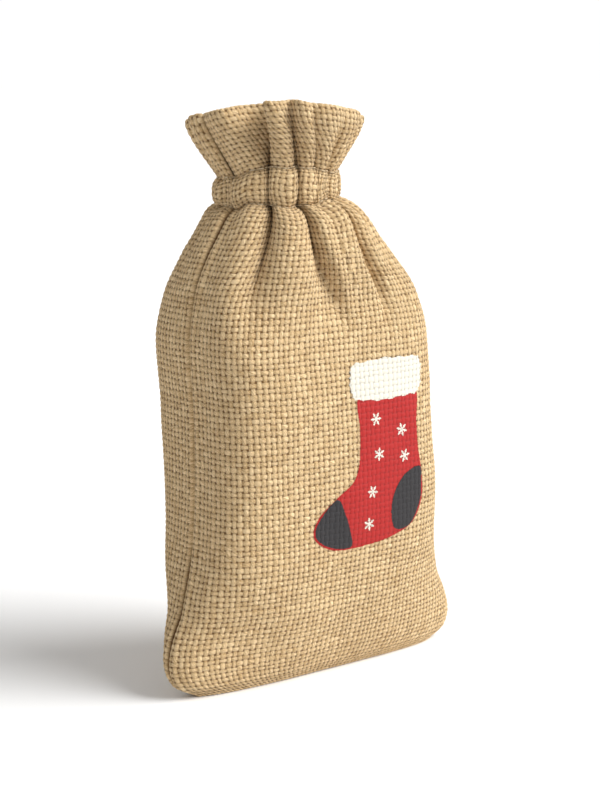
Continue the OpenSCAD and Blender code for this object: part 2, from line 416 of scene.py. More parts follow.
@dataclass
class NeckShape:
    """Sizes of the drawn-in neck, from the frame's boxes.

    Attributes:
        body_top: Height of the channel's lower row of stitches.
        channel_top: Height of its upper row.
        puff_r: Radius of the channel at its fullest.
        pinch_r: Radius at the rows of stitches.
        ruffle_r: Radius of the ruffle's top edge.
        ruffle_low: Length of the ruffle's cloth on its lower side.
        ruffle_high: Length of the ruffle's cloth on its higher side.
        high_side: Direction round the neck in which the ruffle is highest, in degrees.
        twist: How far the neck has twisted at the left seam, in degrees.
        untwist: How much of a turn back the seam makes on its way up the ruffle.
    """

    body_top: float
    channel_top: float
    puff_r: float
    pinch_r: float = 19.2 * MM
    ruffle_r: float = 28.8 * MM
    ruffle_low: float = 16.5 * MM
    ruffle_high: float = 24.0 * MM
    high_side: float = 250.0
    twist: float = 6.0
    untwist: float = 13.0

    @classmethod
    def from_frame(cls) -> "NeckShape":
        """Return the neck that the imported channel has."""
        low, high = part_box("front_channel")
        return cls(low.z, high.z, -low.y)


@dataclass(frozen=True)
class StitchRows:
    """How the channel's two rows of stitches stray from level.

    Attributes:
        wave: Height of their waves, in metres.
        lower: Seed and size of the lower row's waves.
        upper: Seed and size of the upper row's waves.
        high_side: Direction round the neck in which both rows are higher, in degrees.
        lower_lean: How far the lower row leans up to that side, in metres.
        upper_lean: How far the upper row does.
        lower_rise: How far the whole lower row is drawn up, in metres.
        upper_drop: How far the whole upper row is pulled down, in metres.
        arch: How far the upper row is pushed up at the front, in metres.
        arch_side: Direction of that arch, in degrees.
    """

    wave: float = 1.5 * MM
    lower: tuple[int, float] = (44, 4.3)
    upper: tuple[int, float] = (45, 4.6)
    high_side: float = -38.0
    lower_lean: float = 1.0 * MM
    upper_lean: float = 0.9 * MM
    lower_rise: float = 1.1 * MM
    upper_drop: float = 0.7 * MM
    arch: float = 2.0 * MM
    arch_side: float = 250.0


@dataclass(frozen=True)
class Shoulders:
    """How the body draws in to the neck and folds below it.

    Attributes:
        closing: Height share at which the body starts to draw in.
        swell: How far the cloth stands out past the pinch just below it, in metres.
        swell_by: Drop that brings in most of the swell, in metres.
        slope: How much further out the cloth stands for each metre of drop.
        shift: How far the shoulders lie to the right of the neck, in metres.
        shift_by: Drop that brings in most of the shift, in metres.
        level_by: Drop at which the slant of the stitches has died out, in metres.
        fan_by: Drop at which the folds have fanned out, in metres.
        soft_by: Drop at which the folds are at their softest, in metres.
        soft: Power of a soft fold's sine.
        crisp: Power of a crisp fold's sine, just below the channel.
        lean: How far the crisp folds lean over their valleys.
        seam_deep: Depth of the folds' ends at the side seams, in metres.
        deepest: The deepest that a fold may be, in metres.
    """

    closing: float = 0.80
    swell: float = 5.4 * MM
    swell_by: float = 1.6 * MM
    slope: float = 0.6
    shift: float = 2.6 * MM
    shift_by: float = 2.5 * MM
    level_by: float = 14 * MM
    fan_by: float = 34 * MM
    soft_by: float = 34 * MM
    soft: float = 1.7
    crisp: float = 0.65
    lean: float = 0.10
    seam_deep: float = 1.4 * MM
    deepest: float = 9.5 * MM


@dataclass(frozen=True)
class Puffs:
    """How the channel's cloth puffs out between its rows of stitches.

    Attributes:
        flat: Power that flattens the middle of the puffs.
        blunt: Power that rounds them off at the stitches.
        fill: How far they reach from the pinch to the channel's full radius.
        uneven: How much they differ round the neck, in metres.
        level: Fullness at which they don't differ.
        pattern: Seed and size of those differences.
        settle: Share of the height at which the creases are in their own places.
        crisp: Power of the creases' sine at the stitches.
        crisper: How much that power falls at the fullest place.
        lean: How far the puffs lean over their creases at the stitches.
        lean_more: How much more they lean at the fullest place.
        seam_deep: Depth of the creases at the side seams, in metres.
        deepest: The deepest that a crease may be, in metres.
    """

    flat: float = 2.6
    blunt: float = 0.7
    fill: float = 0.8
    uneven: float = 1.9 * MM
    level: float = 0.4
    pattern: tuple[int, float] = (40, 4.0)
    settle: float = 0.5
    crisp: float = 0.5
    crisper: float = 0.15
    lean: float = 0.10
    lean_more: float = 0.03
    seam_deep: float = 1.6 * MM
    deepest: float = 6.0 * MM


@dataclass(frozen=True)
class Flare:
    """How the ruffle opens out above the channel.

    Attributes:
        bell: Power that makes it open quickly at first.
        one_sided: Power that keeps the high part of its top edge to one side.
        uneven: How much its height differs round the neck, in metres.
        pattern: Seed and size of those differences.
        pocket_wide: Half width of the pushed-in pocket, as a share of the way from seam to seam.
        shift: How far its top edge lies to the left, in metres.
        settle: Share of the height at which the lobes are in their own places.
        crisp: Power of the lobes' sine at the stitches.
        softer: How much that power grows up to the top edge.
        lean: How far the lobes lean over their valleys at the stitches.
        seam_deep: Depth of the valleys at the side seams, in metres.
        seam_deeper: How much deeper they get up to the top edge, in metres.
        deepest: The deepest that a valley may be, in metres.
    """

    bell: float = 1.35
    one_sided: float = 2.2
    uneven: float = 0.8 * MM
    pattern: tuple[int, float] = (50, 2.8)
    pocket_wide: float = 0.055
    shift: float = 1.0 * MM
    settle: float = 0.9
    crisp: float = 0.5
    softer: float = 0.8
    lean: float = 0.10
    seam_deep: float = 1.6 * MM
    seam_deeper: float = 0.8 * MM
    deepest: float = 11 * MM


class ClothHalf:
    """One panel of the sack, from its bottom seam to its folded top edge.

    The constants are the points in a level line, half the cloth's thickness, how much squarer
    the back is than the front and between which height shares, how the base closes, and how
    many lines make up each part.
    """

    DENSE = 1100
    THICK = 1.15 * MM
    MID_HEIGHT = 0.58
    BACK_SQUARE = 1.35
    BACK_FULL_FROM = 0.25
    BACK_FULL_TO = (0.70, 0.92)
    BASE_Z = 0.15 * MM
    BASE_LINES = 14
    BASE_NARROW = 0.05
    BODY_LINES = 200
    BODY_CROWD = 1.15
    CHANNEL_LINES = 40
    RUFFLE_LINES = 60
    EVEN_CREASES = 0.45
    BISECTIONS = 16
    ROWS = StitchRows()
    SHOULDERS = Shoulders()
    PUFFS = Puffs()
    FLARE = Flare()

    def __init__(self, half: Half, filled: Filled, neck: NeckShape, weave: Weave) -> None:
        """Keep the sizes, and work out how wide the cloth is.

        Args:
            half: Which panel this is.
            filled: Outline of the body.
            neck: Sizes of the neck.
            weave: The cloth's weave.
        """
        self.half = half
        self.filled = filled
        self.neck = neck
        self.weave = weave
        self.gathers = GATHERS[half]
        self.width = self.cloth_width()
        self.pitch = self.width / weave.threads_across

    def cloth_width(self) -> float:
        """Return the width of the panel, which is half the way round the body."""
        return length_of(self.section(self.MID_HEIGHT, self.DENSE))

    def section(self, share: float, count: int, square: float = 1.0) -> np.ndarray:
        """Return half a level section of the smooth body.

        Args:
            share: Height as a share of the body's height.
            count: How many points.
            square: How much squarer it is than the outline says.

        Returns:
            Points in metres, from the left seam to the right one, evenly spaced.
        """
        f = self.filled
        at = np.array([share])
        wide = float(f.value(at, 1)[0]) * f.half_width
        deep = float(f.value(at, 2)[0]) * f.half_depth
        power = 2 / (float(f.value(at, 3)[0]) * square)
        angle = np.linspace(math.pi, 0, 4 * count)
        c, s = np.cos(angle), np.clip(np.sin(angle), 0, 1)
        line = np.stack(
            [
                f.middle_x(share) + wide * np.sign(c) * np.abs(c) ** power,
                self.half.value * deep * s**power,
                np.full_like(angle, share * f.height),
            ],
            axis=1,
        )
        return spread_evenly(line, count)[0]

    def neck_circle(self, radius: float, height: float, share: np.ndarray, back: float = 0.0) -> np.ndarray:
        """Return half a circle round the neck.

        Args:
            radius: Its radius.
            height: Its height above the floor.
            share: Shares of the way from the left seam to the right one.
            back: How far the left seam has turned back, in degrees.

        Returns:
            One point for each share.
        """
        angle = self.neck_angle(share, back)
        return np.stack(
            [
                self.filled.neck_x + radius * np.cos(angle),
                radius * np.sin(angle),
                np.full_like(angle, height),
            ],
            axis=1,
        )

    def neck_angle(self, share: np.ndarray, back: float = 0.0) -> np.ndarray:
        """Return the direction round the neck, in radians, at shares of the way from seam to seam."""
        left = 180 + self.neck.twist - back
        right = 360.0 if self.half is Half.FRONT else 0.0
        return np.radians(left + (right - left) * share)

    def wave(self, seed: int, cells: float) -> np.ndarray:
        """Return an unevenness from -1 to 1 that runs round the neck and meets itself at both seams."""
        angle = self.neck_angle(np.linspace(0, 1, self.DENSE))
        return lattice_noise(20 + cells * np.cos(angle), 20 + cells * np.sin(angle), seed)

    def channel_edge(self, upper: bool) -> np.ndarray:
        """Return how far a row of channel stitches strays from level, which also leans up to the right."""
        rows = self.ROWS
        angle = self.neck_angle(np.linspace(0, 1, self.DENSE))
        lean = np.cos(angle - math.radians(rows.high_side))
        if not upper:
            return rows.wave * self.wave(*rows.lower) + rows.lower_lean * lean + rows.lower_rise
        arch = rows.arch * np.clip(np.cos(angle - math.radians(rows.arch_side)), 0, 1) ** 3
        return rows.wave * self.wave(*rows.upper) + rows.upper_lean * lean + arch - rows.upper_drop

    def pleat(
        self,
        base: np.ndarray,
        folds: np.ndarray,
        deep: np.ndarray,
        seam_deep: float,
        sharp: float,
        pinch: float,
        limit: float,
    ) -> np.ndarray:
        """Fold one level line of cloth until it holds the whole width of the panel.

        Args:
            base: The smooth line, evenly spaced.
            folds: Where its valleys lie, as shares.
            deep: How deep each valley is, against the others.
            seam_deep: Depth of the two ends, in metres.
            sharp: Power of the lobes' sine: small is boxy with sharp valleys.
            pinch: How far the lobes lean over their valleys, as a share of their width.
            limit: The deepest that a valley may be, in metres.

        Returns:
            The folded line, with as many points.
        """
        share = np.linspace(0, 1, len(base))
        edges = np.concatenate([[0.0], folds, [1.0]])
        lobe = np.clip(np.searchsorted(edges, share, side="right") - 1, 0, len(edges) - 2)
        start, end = edges[lobe], edges[lobe + 1]
        u = (share - start) / (end - start)
        low = 1 - np.clip(np.sin(math.pi * u), 0, 1) ** sharp
        moved = share - pinch * (end - start) * np.sin(2 * math.pi * u)
        line = np.stack([np.interp(moved, share, base[:, k]) for k in range(3)], axis=1)
        tangent = np.gradient(base, axis=0)
        normal = np.stack([tangent[:, 1], -tangent[:, 0], np.zeros(len(base))], axis=1)
        normal *= -self.half.value / np.maximum(np.linalg.norm(normal, axis=1, keepdims=True), 1e-12)
        normal = np.stack([np.interp(moved, share, normal[:, k]) for k in range(3)], axis=1)
        small, large = 0.0, limit
        for _ in range(self.BISECTIONS):
            size = (small + large) / 2
            ends = np.concatenate([[seam_deep], size * np.asarray(deep), [seam_deep]])
            drop = low * (ends[lobe] * (1 - u) + ends[lobe + 1] * u)
            folded = line - normal * drop[:, None]
            small, large = (size, large) if length_of(folded) < self.width else (small, size)
        return folded

    def body_lines(self) -> np.ndarray:
        """Return the folded level lines of the body, from the bottom seam up."""
        f, g, neck, to = self.filled, self.gathers, self.neck, self.SHOULDERS
        every = np.linspace(0, 1, self.DENSE)
        lines = self.base_lines()
        for share in 1 - (1 - np.linspace(0, 1, self.BODY_LINES)) ** self.BODY_CROWD:
            height = share * f.height
            gap = f.height - height
            base = self.section(share, self.DENSE, self.squareness(share))
            base[:, 2] = max(height, self.BASE_Z)
            closing = float(smoothstep(to.closing, 1.0, share))
            radius = neck.pinch_r + to.swell * (1 - math.exp(-gap / to.swell_by)) + to.slope * gap
            circle = self.neck_circle(radius, height, every)
            circle[:, 0] += to.shift * (1 - math.exp(-gap / to.shift_by))
            base = base * (1 - closing) + circle * closing
            base[:, 2] += self.channel_edge(False) * (1 - float(smoothstep(0, to.level_by, gap)))
            fade = np.array([1 - smoothstep(0.1 * reach, reach, gap) for reach in g.reach])
            if fade.max() <= 0.001:
                lines.append(base)
                continue
            tight = 1 - min(gap / to.soft_by, 1.0)
            sharp = to.soft - (to.soft - to.crisp) * tight
            folds = between(g.body, g.foot, float(smoothstep(0, to.fan_by, gap)))
            deep, seam_deep = np.array(g.deep) * fade, to.seam_deep * tight**2
            lines.append(self.pleat(base, folds, deep, seam_deep, sharp, to.lean * tight, to.deepest))
        return np.array(lines)

    def base_lines(self) -> list[np.ndarray]:
        """Return the lines of the flat base, from the bottom seam out to the foot."""
        middle = self.filled.middle_x(0)
        foot = self.section(0.0, self.DENSE)
        lines = []
        for k in np.linspace(0, 1, self.BASE_LINES)[:-1]:
            under = foot.copy()
            under[:, 0] = middle + (under[:, 0] - middle) * (1 - self.BASE_NARROW + self.BASE_NARROW * k)
            under[:, 1] *= k
            under[:, 2] = self.BASE_Z
            lines.append(under)
        return lines

    def squareness(self, share: float) -> float:
        """Return how much squarer than the outline this half is at a height share."""
        if self.half is Half.FRONT:
            return 1.0
        fuller = smoothstep(0.0, self.BACK_FULL_FROM, share) * (1 - smoothstep(*self.BACK_FULL_TO, share))
        return 1 + (self.BACK_SQUARE - 1) * float(fuller)

    def channel_lines(self) -> np.ndarray:
        """Return the folded level lines of the channel's outer layer, from its lower row of stitches up."""
        neck, g, puffs = self.neck, self.gathers, self.PUFFS
        share = np.linspace(0, 1, self.DENSE)
        middle = [self.filled.neck_x, 0]
        deep = np.array(g.deep) ** self.EVEN_CREASES
        lines = []
        for v in np.linspace(0, 1, self.CHANNEL_LINES):
            puff = (1 - abs(2 * v - 1) ** puffs.flat) ** puffs.blunt
            height = neck.body_top + (neck.channel_top - neck.body_top) * v
            radius = neck.pinch_r + puffs.fill * (neck.puff_r - neck.pinch_r) * puff
            radius = radius + puffs.uneven * (puff - puffs.level) * self.wave(*puffs.pattern)
            base = self.neck_circle(1.0, height, share)
            base[:, :2] = (base[:, :2] - middle) * radius[:, None] + middle
            base[:, 2] += self.channel_edge(False) * (1 - v) + self.channel_edge(True) * v
            folds = between(g.body, g.channel, float(smoothstep(0, puffs.settle, v)))
            sharp, lean = puffs.crisp - puffs.crisper * puff, puffs.lean + puffs.lean_more * puff
            lines.append(self.pleat(base, folds, deep, puffs.seam_deep, sharp, lean, puffs.deepest))
        return np.array(lines)

    def ruffle_lines(self) -> np.ndarray:
        """Return the folded lines of the ruffle's outer layer, from the upper row of stitches up."""
        neck, g, flare = self.neck, self.gathers, self.FLARE
        share = np.linspace(0, 1, self.DENSE)
        tilt = (0.5 + 0.5 * np.cos(self.neck_angle(share) - math.radians(neck.high_side))) ** flare.one_sided
        slant = neck.ruffle_low + (neck.ruffle_high - neck.ruffle_low) * tilt
        slant = slant + flare.uneven * self.wave(*flare.pattern)
        start = self.channel_edge(True)
        pocket = g.pocket[1] * np.exp(-(((share - g.pocket[0]) / flare.pocket_wide) ** 2))
        creases = tuple(np.array(g.deep) ** self.EVEN_CREASES)
        lines = []
        for h in np.linspace(0, 1, self.RUFFLE_LINES):
            radius = neck.pinch_r + (neck.ruffle_r - neck.pinch_r) * (1 - (1 - h) ** flare.bell)
            base = self.neck_circle(radius, neck.channel_top, share, neck.untwist * h)
            base[:, :2] += ([self.filled.neck_x, 0.0] - base[:, :2]) * (pocket * h / radius)[:, None]
            base[:, 0] -= flare.shift * h
            rise = np.sqrt((slant * h) ** 2 - (radius - neck.pinch_r) ** 2 * h)
            base[:, 2] += start * (1 - h) + rise
            mix = float(smoothstep(0.0, flare.settle, h))
            folds, deep = between(g.channel, g.ruffle, mix), between(creases, g.open, mix)
            seam_deep = flare.seam_deep + flare.seam_deeper * h
            sharp, lean = flare.crisp + flare.softer * h, flare.lean * (1 - 0.5 * h)
            lines.append(self.pleat(base, folds, deep, seam_deep, sharp, lean, flare.deepest))
        return np.array(lines)


@dataclass
class ClothGrid:
    """Finished grid of one panel, before it is cut into pieces.

    Attributes:
        points: Positions of the smooth cloth, as rows by columns by three.
        normals: Outward unit normals.
        threads: Thread numbers across and along.
        woven: Positions with the weave's relief.
        parts: First and last row of each part, by name.
    """

    points: np.ndarray
    normals: np.ndarray
    threads: np.ndarray
    woven: np.ndarray
    parts: dict[str, tuple[int, int]]

    def cut(self, name: str) -> tuple[np.ndarray, np.ndarray]:
        """Return the woven points and threads of one part."""
        first, last = self.parts[name]
        return self.woven[first : last + 1], self.threads[first : last + 1]


class ClothBuilder:
    """Turns the folded lines of a panel into one grid of woven cloth."""

    FOLD_STEPS = 6
    HEM = 3.0 * MM

    def __init__(self, half: ClothHalf) -> None:
        """Keep the panel whose lines are used."""
        self.half = half
        self.weave = half.weave

    def slit(self, v: np.ndarray) -> np.ndarray:
        """Return where the channel's cloth ends on its way to the right seam, at shares of its height."""
        return 1 - 0.095 * np.sin(math.pi * np.clip(v, 0, 1)) ** 0.5

    def rows_for(self, grid: np.ndarray) -> int:
        """Return how many mesh rows a part of the cloth takes."""
        lengths = np.linalg.norm(np.diff(grid, axis=0), axis=2).sum(axis=0)
        threads = max(2, round(float(lengths.mean()) / self.half.pitch))
        return threads * self.weave.samples + 1

    def even(self, lines: np.ndarray, steady: bool = False) -> np.ndarray:
        """Space a part's points evenly across and then along the cloth.

        Args:
            lines: Level lines, as rows by points by three.
            steady: True to run the threads straight from the first line to the last one.

        Returns:
            The evenly spaced grid.
        """
        columns = self.weave.columns
        count = lines.shape[1]
        at = np.arange(count)
        across = []
        for k, line in enumerate(lines):
            steps = np.linalg.norm(np.diff(line, axis=0), axis=1)
            run = np.concatenate([[0.0], np.cumsum(steps)])
            across.append(np.interp(np.linspace(0, run[-1], columns), run, at))
        v = np.linspace(0, 1, len(lines))
        if steady:
            ends = self.slit(v)
            across = [(across[0] * (1 - w) + across[-1] * w) * e for w, e in zip(v, ends)]
        grid = np.array([[np.interp(a, at, line[:, c]) for c in range(3)] for a, line in zip(across, lines)])
        grid = grid.transpose(0, 2, 1)
        steps = np.linalg.norm(np.diff(grid, axis=0), axis=2).mean(axis=1)
        run = np.concatenate([[0.0], np.cumsum(steps)])
        want = np.interp(np.linspace(0, run[-1], self.rows_for(grid)), run, np.arange(len(run)))
        low = np.minimum(want.astype(int), len(run) - 2)
        part = (want - low)[:, None, None]
        return grid[low] * (1 - part) + grid[low + 1] * part

    def inner_layer(self, outer: np.ndarray, normals: np.ndarray) -> np.ndarray:
        """Return the facing that lies inside a part of the cloth, from its top down."""
        return (outer - 2 * self.half.THICK * normals)[::-1]

    def calm(self, normals: np.ndarray, reach: int = 7) -> np.ndarray:
        """Even out normals along the rows, and turn them straight outwards at the seams.

        Args:
            normals: Unit normals, as rows by columns by three.
            reach: How many columns each side are taken in.

        Returns:
            The calmer normals.
        """
        total = sum(np.roll(normals, shift, axis=1) for shift in range(-reach, reach + 1))
        angle = np.array([self.half.neck_angle(np.array([0.0]))[0], self.half.neck_angle(np.array([1.0]))[0]])
        columns = normals.shape[1]
        at = np.arange(columns)
        near = smoothstep(2, reach + 6, np.minimum(at, columns - 1 - at))[None, :, None]
        side = np.where(at < columns / 2, angle[0], angle[1])
        out = np.stack([np.cos(side), np.sin(side), np.zeros(columns)], axis=1)[None]
        slope = normals[..., 2:].mean(axis=1, keepdims=True)
        total = total / np.maximum(np.linalg.norm(total, axis=2, keepdims=True), 1e-9)
        mixed = total * near + (out + [0, 0, 1] * slope) * (1 - near)
        return mixed / np.linalg.norm(mixed, axis=2, keepdims=True)

    def build(self) -> ClothGrid:
        """Return the whole panel as one grid."""
        half = self.half
        channel_lines = half.channel_lines()
        body_lines = half.body_lines()
        body_lines[-1] = channel_lines[0]
        ruffle_lines = half.ruffle_lines()
        ruffle_lines[0] = channel_lines[-1]
        body = self.even(body_lines)
        channel = self.even(channel_lines, steady=True)
        ruffle = self.even(ruffle_lines)
        body = self.dent(body)
        outer = np.concatenate([body, channel[1:], ruffle[1:]])
        normals = -half.half.value * grid_normals(outer)
        nb, nc = len(body), len(body) + len(channel) - 1
        normals[nb - 1 :] = self.calm(normals[nb - 1 :])
        top, top_normal = outer[-1], normals[-1]
        climb = outer[-1] - outer[-2]
        climb /= np.linalg.norm(climb, axis=1, keepdims=True)
        turn = np.linspace(0, math.pi, self.FOLD_STEPS + 1)[1:-1]
        r = half.THICK
        round_edge = [r * (math.cos(a) * top_normal + math.sin(a) * climb) for a in turn]
        fold = np.array([top - r * top_normal + step for step in round_edge])
        facing = self.inner_layer(outer[nc - 1 :], normals[nc - 1 :])
        behind = self.inner_layer(outer[nb - 1 : nc], normals[nb - 1 : nc])[1:]
        v = np.linspace(1, 0, len(behind) + 1)[1:]
        start, stop = facing[-1], behind[-1]
        straight = start[None] * v[:, None, None] + stop[None] * (1 - v)[:, None, None]
        behind = self.inside_cord(straight, v)
        hem_rows = 2 * self.weave.samples
        drop = np.linspace(0, self.HEM, hem_rows + 1)[1:]
        hem = behind[-1][None] - drop[:, None, None] * np.array([0, 0, 1.0])
        points = np.concatenate([outer, fold, facing, behind, hem])
        normals = -half.half.value * grid_normals(points)
        parts = {"body": (0, nb - 1), "channel": (nb - 1, nc - 1), "ruffle": (nc - 1, len(outer) - 1)}
        first = len(outer) + len(fold)
        parts["facing"] = (len(outer) - 1, first + len(facing) - 1)
        parts["lining"] = (first + len(facing) - 1, len(points) - 1)
        return self.weave_grid(points, normals, parts, nb, nc)

    def inside_cord(self, grid: np.ndarray, v: np.ndarray) -> np.ndarray:
        """Keep the channel's inner layer inside the drawstring's loop.

        Args:
            grid: Points of the layer.
            v: Share of the channel's height at each row.

        Returns:
            The layer, drawn in round the neck.
        """
        middle = np.array([self.half.filled.neck_x, 0.0])
        away = grid[..., :2] - middle
        radius = np.linalg.norm(away, axis=2)
        drawn = 8.1 * MM + 0.65 * (radius - 10.5 * MM)
        mix = np.sin(math.pi * np.clip(v, 0, 1))[:, None] ** 0.5
        factor = (radius * (1 - mix) + drawn * mix) / np.maximum(radius, 1e-9)
        result = grid.copy()
        result[..., :2] = middle + away * factor[..., None]
        return result

    def dent(self, body: np.ndarray) -> np.ndarray:
        """Give the body the soft unevenness of a hand-filled sack."""
        rows, columns = body.shape[:2]
        row, column = np.meshgrid(np.arange(rows), np.arange(columns), indexing="ij")
        pitch = self.half.pitch / self.weave.samples
        x, y = column * pitch, row * pitch
        seed = 60 + self.half.half.value
        soft = 0.55 * MM * lattice_noise(x / (21 * MM), y / (26 * MM), seed)
        soft += 0.22 * MM * lattice_noise(x / (9 * MM), y / (11 * MM), seed + 5)
        edge = smoothstep(0, 8 * MM, np.minimum(x, x.max() - x)) * smoothstep(0, 18 * MM, y)
        normals = -self.half.half.value * grid_normals(body)
        top = smoothstep(0, 10 * MM, y.max() - y)
        return body + normals * (soft * edge * top)[..., None]

    def weave_grid(
        self, points: np.ndarray, normals: np.ndarray, parts: dict[str, tuple[int, int]], nb: int, nc: int
    ) -> ClothGrid:
        """Sink the seams and raise the weave.

        Args:
            points: The smooth cloth.
            normals: Its outward normals.
            parts: First and last row of each part.
            nb: How many rows the body has.
            nc: The row at which the channel ends.

        Returns:
            The finished grid.
        """
        rows, columns = points.shape[:2]
        across = np.tile(np.linspace(0, self.weave.threads_across, columns), (rows, 1))
        v = np.clip((np.arange(rows) - (nb - 1)) / max(nc - nb, 1), 0, 1)
        across *= self.slit(v)[:, None]
        along = np.tile((np.arange(rows)[:, None] - (nb - 1)) / self.weave.samples, (1, columns))
        threads = self.weave.stray(across, along, 7 + self.half.half.value)
        column = np.arange(columns)
        near = np.minimum(column, column[::-1])[None] * self.half.pitch / self.weave.samples
        climb = np.gradient(points, axis=0)
        level = np.stack([climb[..., 2], np.zeros_like(climb[..., 0]), -climb[..., 0]], axis=2)
        level /= np.maximum(np.linalg.norm(level, axis=2, keepdims=True), 1e-12)
        side = np.where(np.arange(columns) < columns / 2, -1.0, 1.0)[None, :, None]
        blend = smoothstep(0, 2.2 * MM, near)[..., None]
        outward = level * side
        outward = np.where((outward * normals).sum(axis=2, keepdims=True) < -0.2, -outward, outward)
        rim = (np.arange(rows) < nb)[:, None, None]
        mixed = np.where(rim, normals * blend + outward * (1 - blend), normals)
        mixed /= np.maximum(np.linalg.norm(mixed, axis=2, keepdims=True), 1e-12)
        groove = 1.7 * MM * np.exp(-((near / (0.62 * MM)) ** 2))
        groove -= 0.35 * MM * np.exp(-(((near - 2.2 * MM) / (1.2 * MM)) ** 2))
        groove = groove * np.where(np.arange(rows) < nc, 1.0, 0.5)[:, None]
        relief = self.weave.height(threads) * smoothstep(0, 0.6 * MM, near)
        woven = points + mixed * (relief - groove)[..., None]
        woven[..., 2] = np.maximum(woven[..., 2], 0.05 * MM)
        return ClothGrid(points, mixed, threads, woven, parts)


# ---------------------------------------------------------------- finishes


class NodePen:
    """Writes shader nodes and links in one tree."""

    def __init__(self, tree: bpy.types.NodeTree) -> None:
        """Keep the tree that is written to."""
        self.tree = tree

    def add(self, kind: str, **settings: object) -> bpy.types.Node:
        """Add a node and set its properties."""
        node = self.tree.nodes.new(kind)
        for name, value in settings.items():
            setattr(node, name, value)
        return node

    def join(self, source: object, target: bpy.types.NodeSocket) -> None:
        """Link a socket to another, or set a plain value."""
        if isinstance(source, bpy.types.NodeSocket):
            self.tree.links.new(source, target)
        else:
            target.default_value = source

    def math(self, operation: str, *values: object) -> bpy.types.NodeSocket:
        """Add a math node over sockets or numbers and return its result."""
        node = self.add("ShaderNodeMath", operation=operation)
        for socket, value in zip(node.inputs, values):
            self.join(value, socket)
        return node.outputs[0]

    def mix(self, factor: object, a: object, b: object) -> bpy.types.NodeSocket:
        """Mix two colours and return the result."""
        node = self.add("ShaderNodeMix", data_type="RGBA")
        self.join(factor, node.inputs[0])
        self.join(a, node.inputs[6])
        self.join(b, node.inputs[7])
        return node.outputs[2]

    def span(self, value: object, low: float, high: float) -> bpy.types.NodeSocket:
        """Map low and high to 0 and 1, smoothly."""
        node = self.add("ShaderNodeMapRange", interpolation_type="SMOOTHSTEP")
        self.join(value, node.inputs[0])
        node.inputs[1].default_value = low
        node.inputs[2].default_value = high
        return node.outputs[0]

    def vector(self, x: object, y: object, z: object = 0.0) -> bpy.types.NodeSocket:
        """Put three values together as a vector."""
        node = self.add("ShaderNodeCombineXYZ")
        for socket, value in zip(node.inputs, (x, y, z)):
            self.join(value, socket)
        return node.outputs[0]

    def noise(
        self, vector: object, scale: float, detail: float = 2.0, rough: float = 0.5
    ) -> bpy.types.NodeSocket:
        """Add a noise texture and return its value."""
        node = self.add("ShaderNodeTexNoise")
        self.join(vector, node.inputs["Vector"])
        node.inputs["Scale"].default_value = scale
        node.inputs["Detail"].default_value = detail
        node.inputs["Roughness"].default_value = rough
        return node.outputs[0]


def new_group(
    name: str, inputs: dict[str, str], outputs: dict[str, str]
) -> tuple[bpy.types.NodeTree, NodePen]:
    """Make an empty shader node group.

    Args:
        name: The group's name.
        inputs: Socket type of each input, by name.
        outputs: Socket type of each output, by name.

    Returns:
        The group and a pen for it.
    """
    group = bpy.data.node_groups.new(name, "ShaderNodeTree")
    for title, kind in inputs.items():
        group.interface.new_socket(title, in_out="INPUT", socket_type=kind)
    for title, kind in outputs.items():
        group.interface.new_socket(title, in_out="OUTPUT", socket_type=kind)
    return group, NodePen(group)


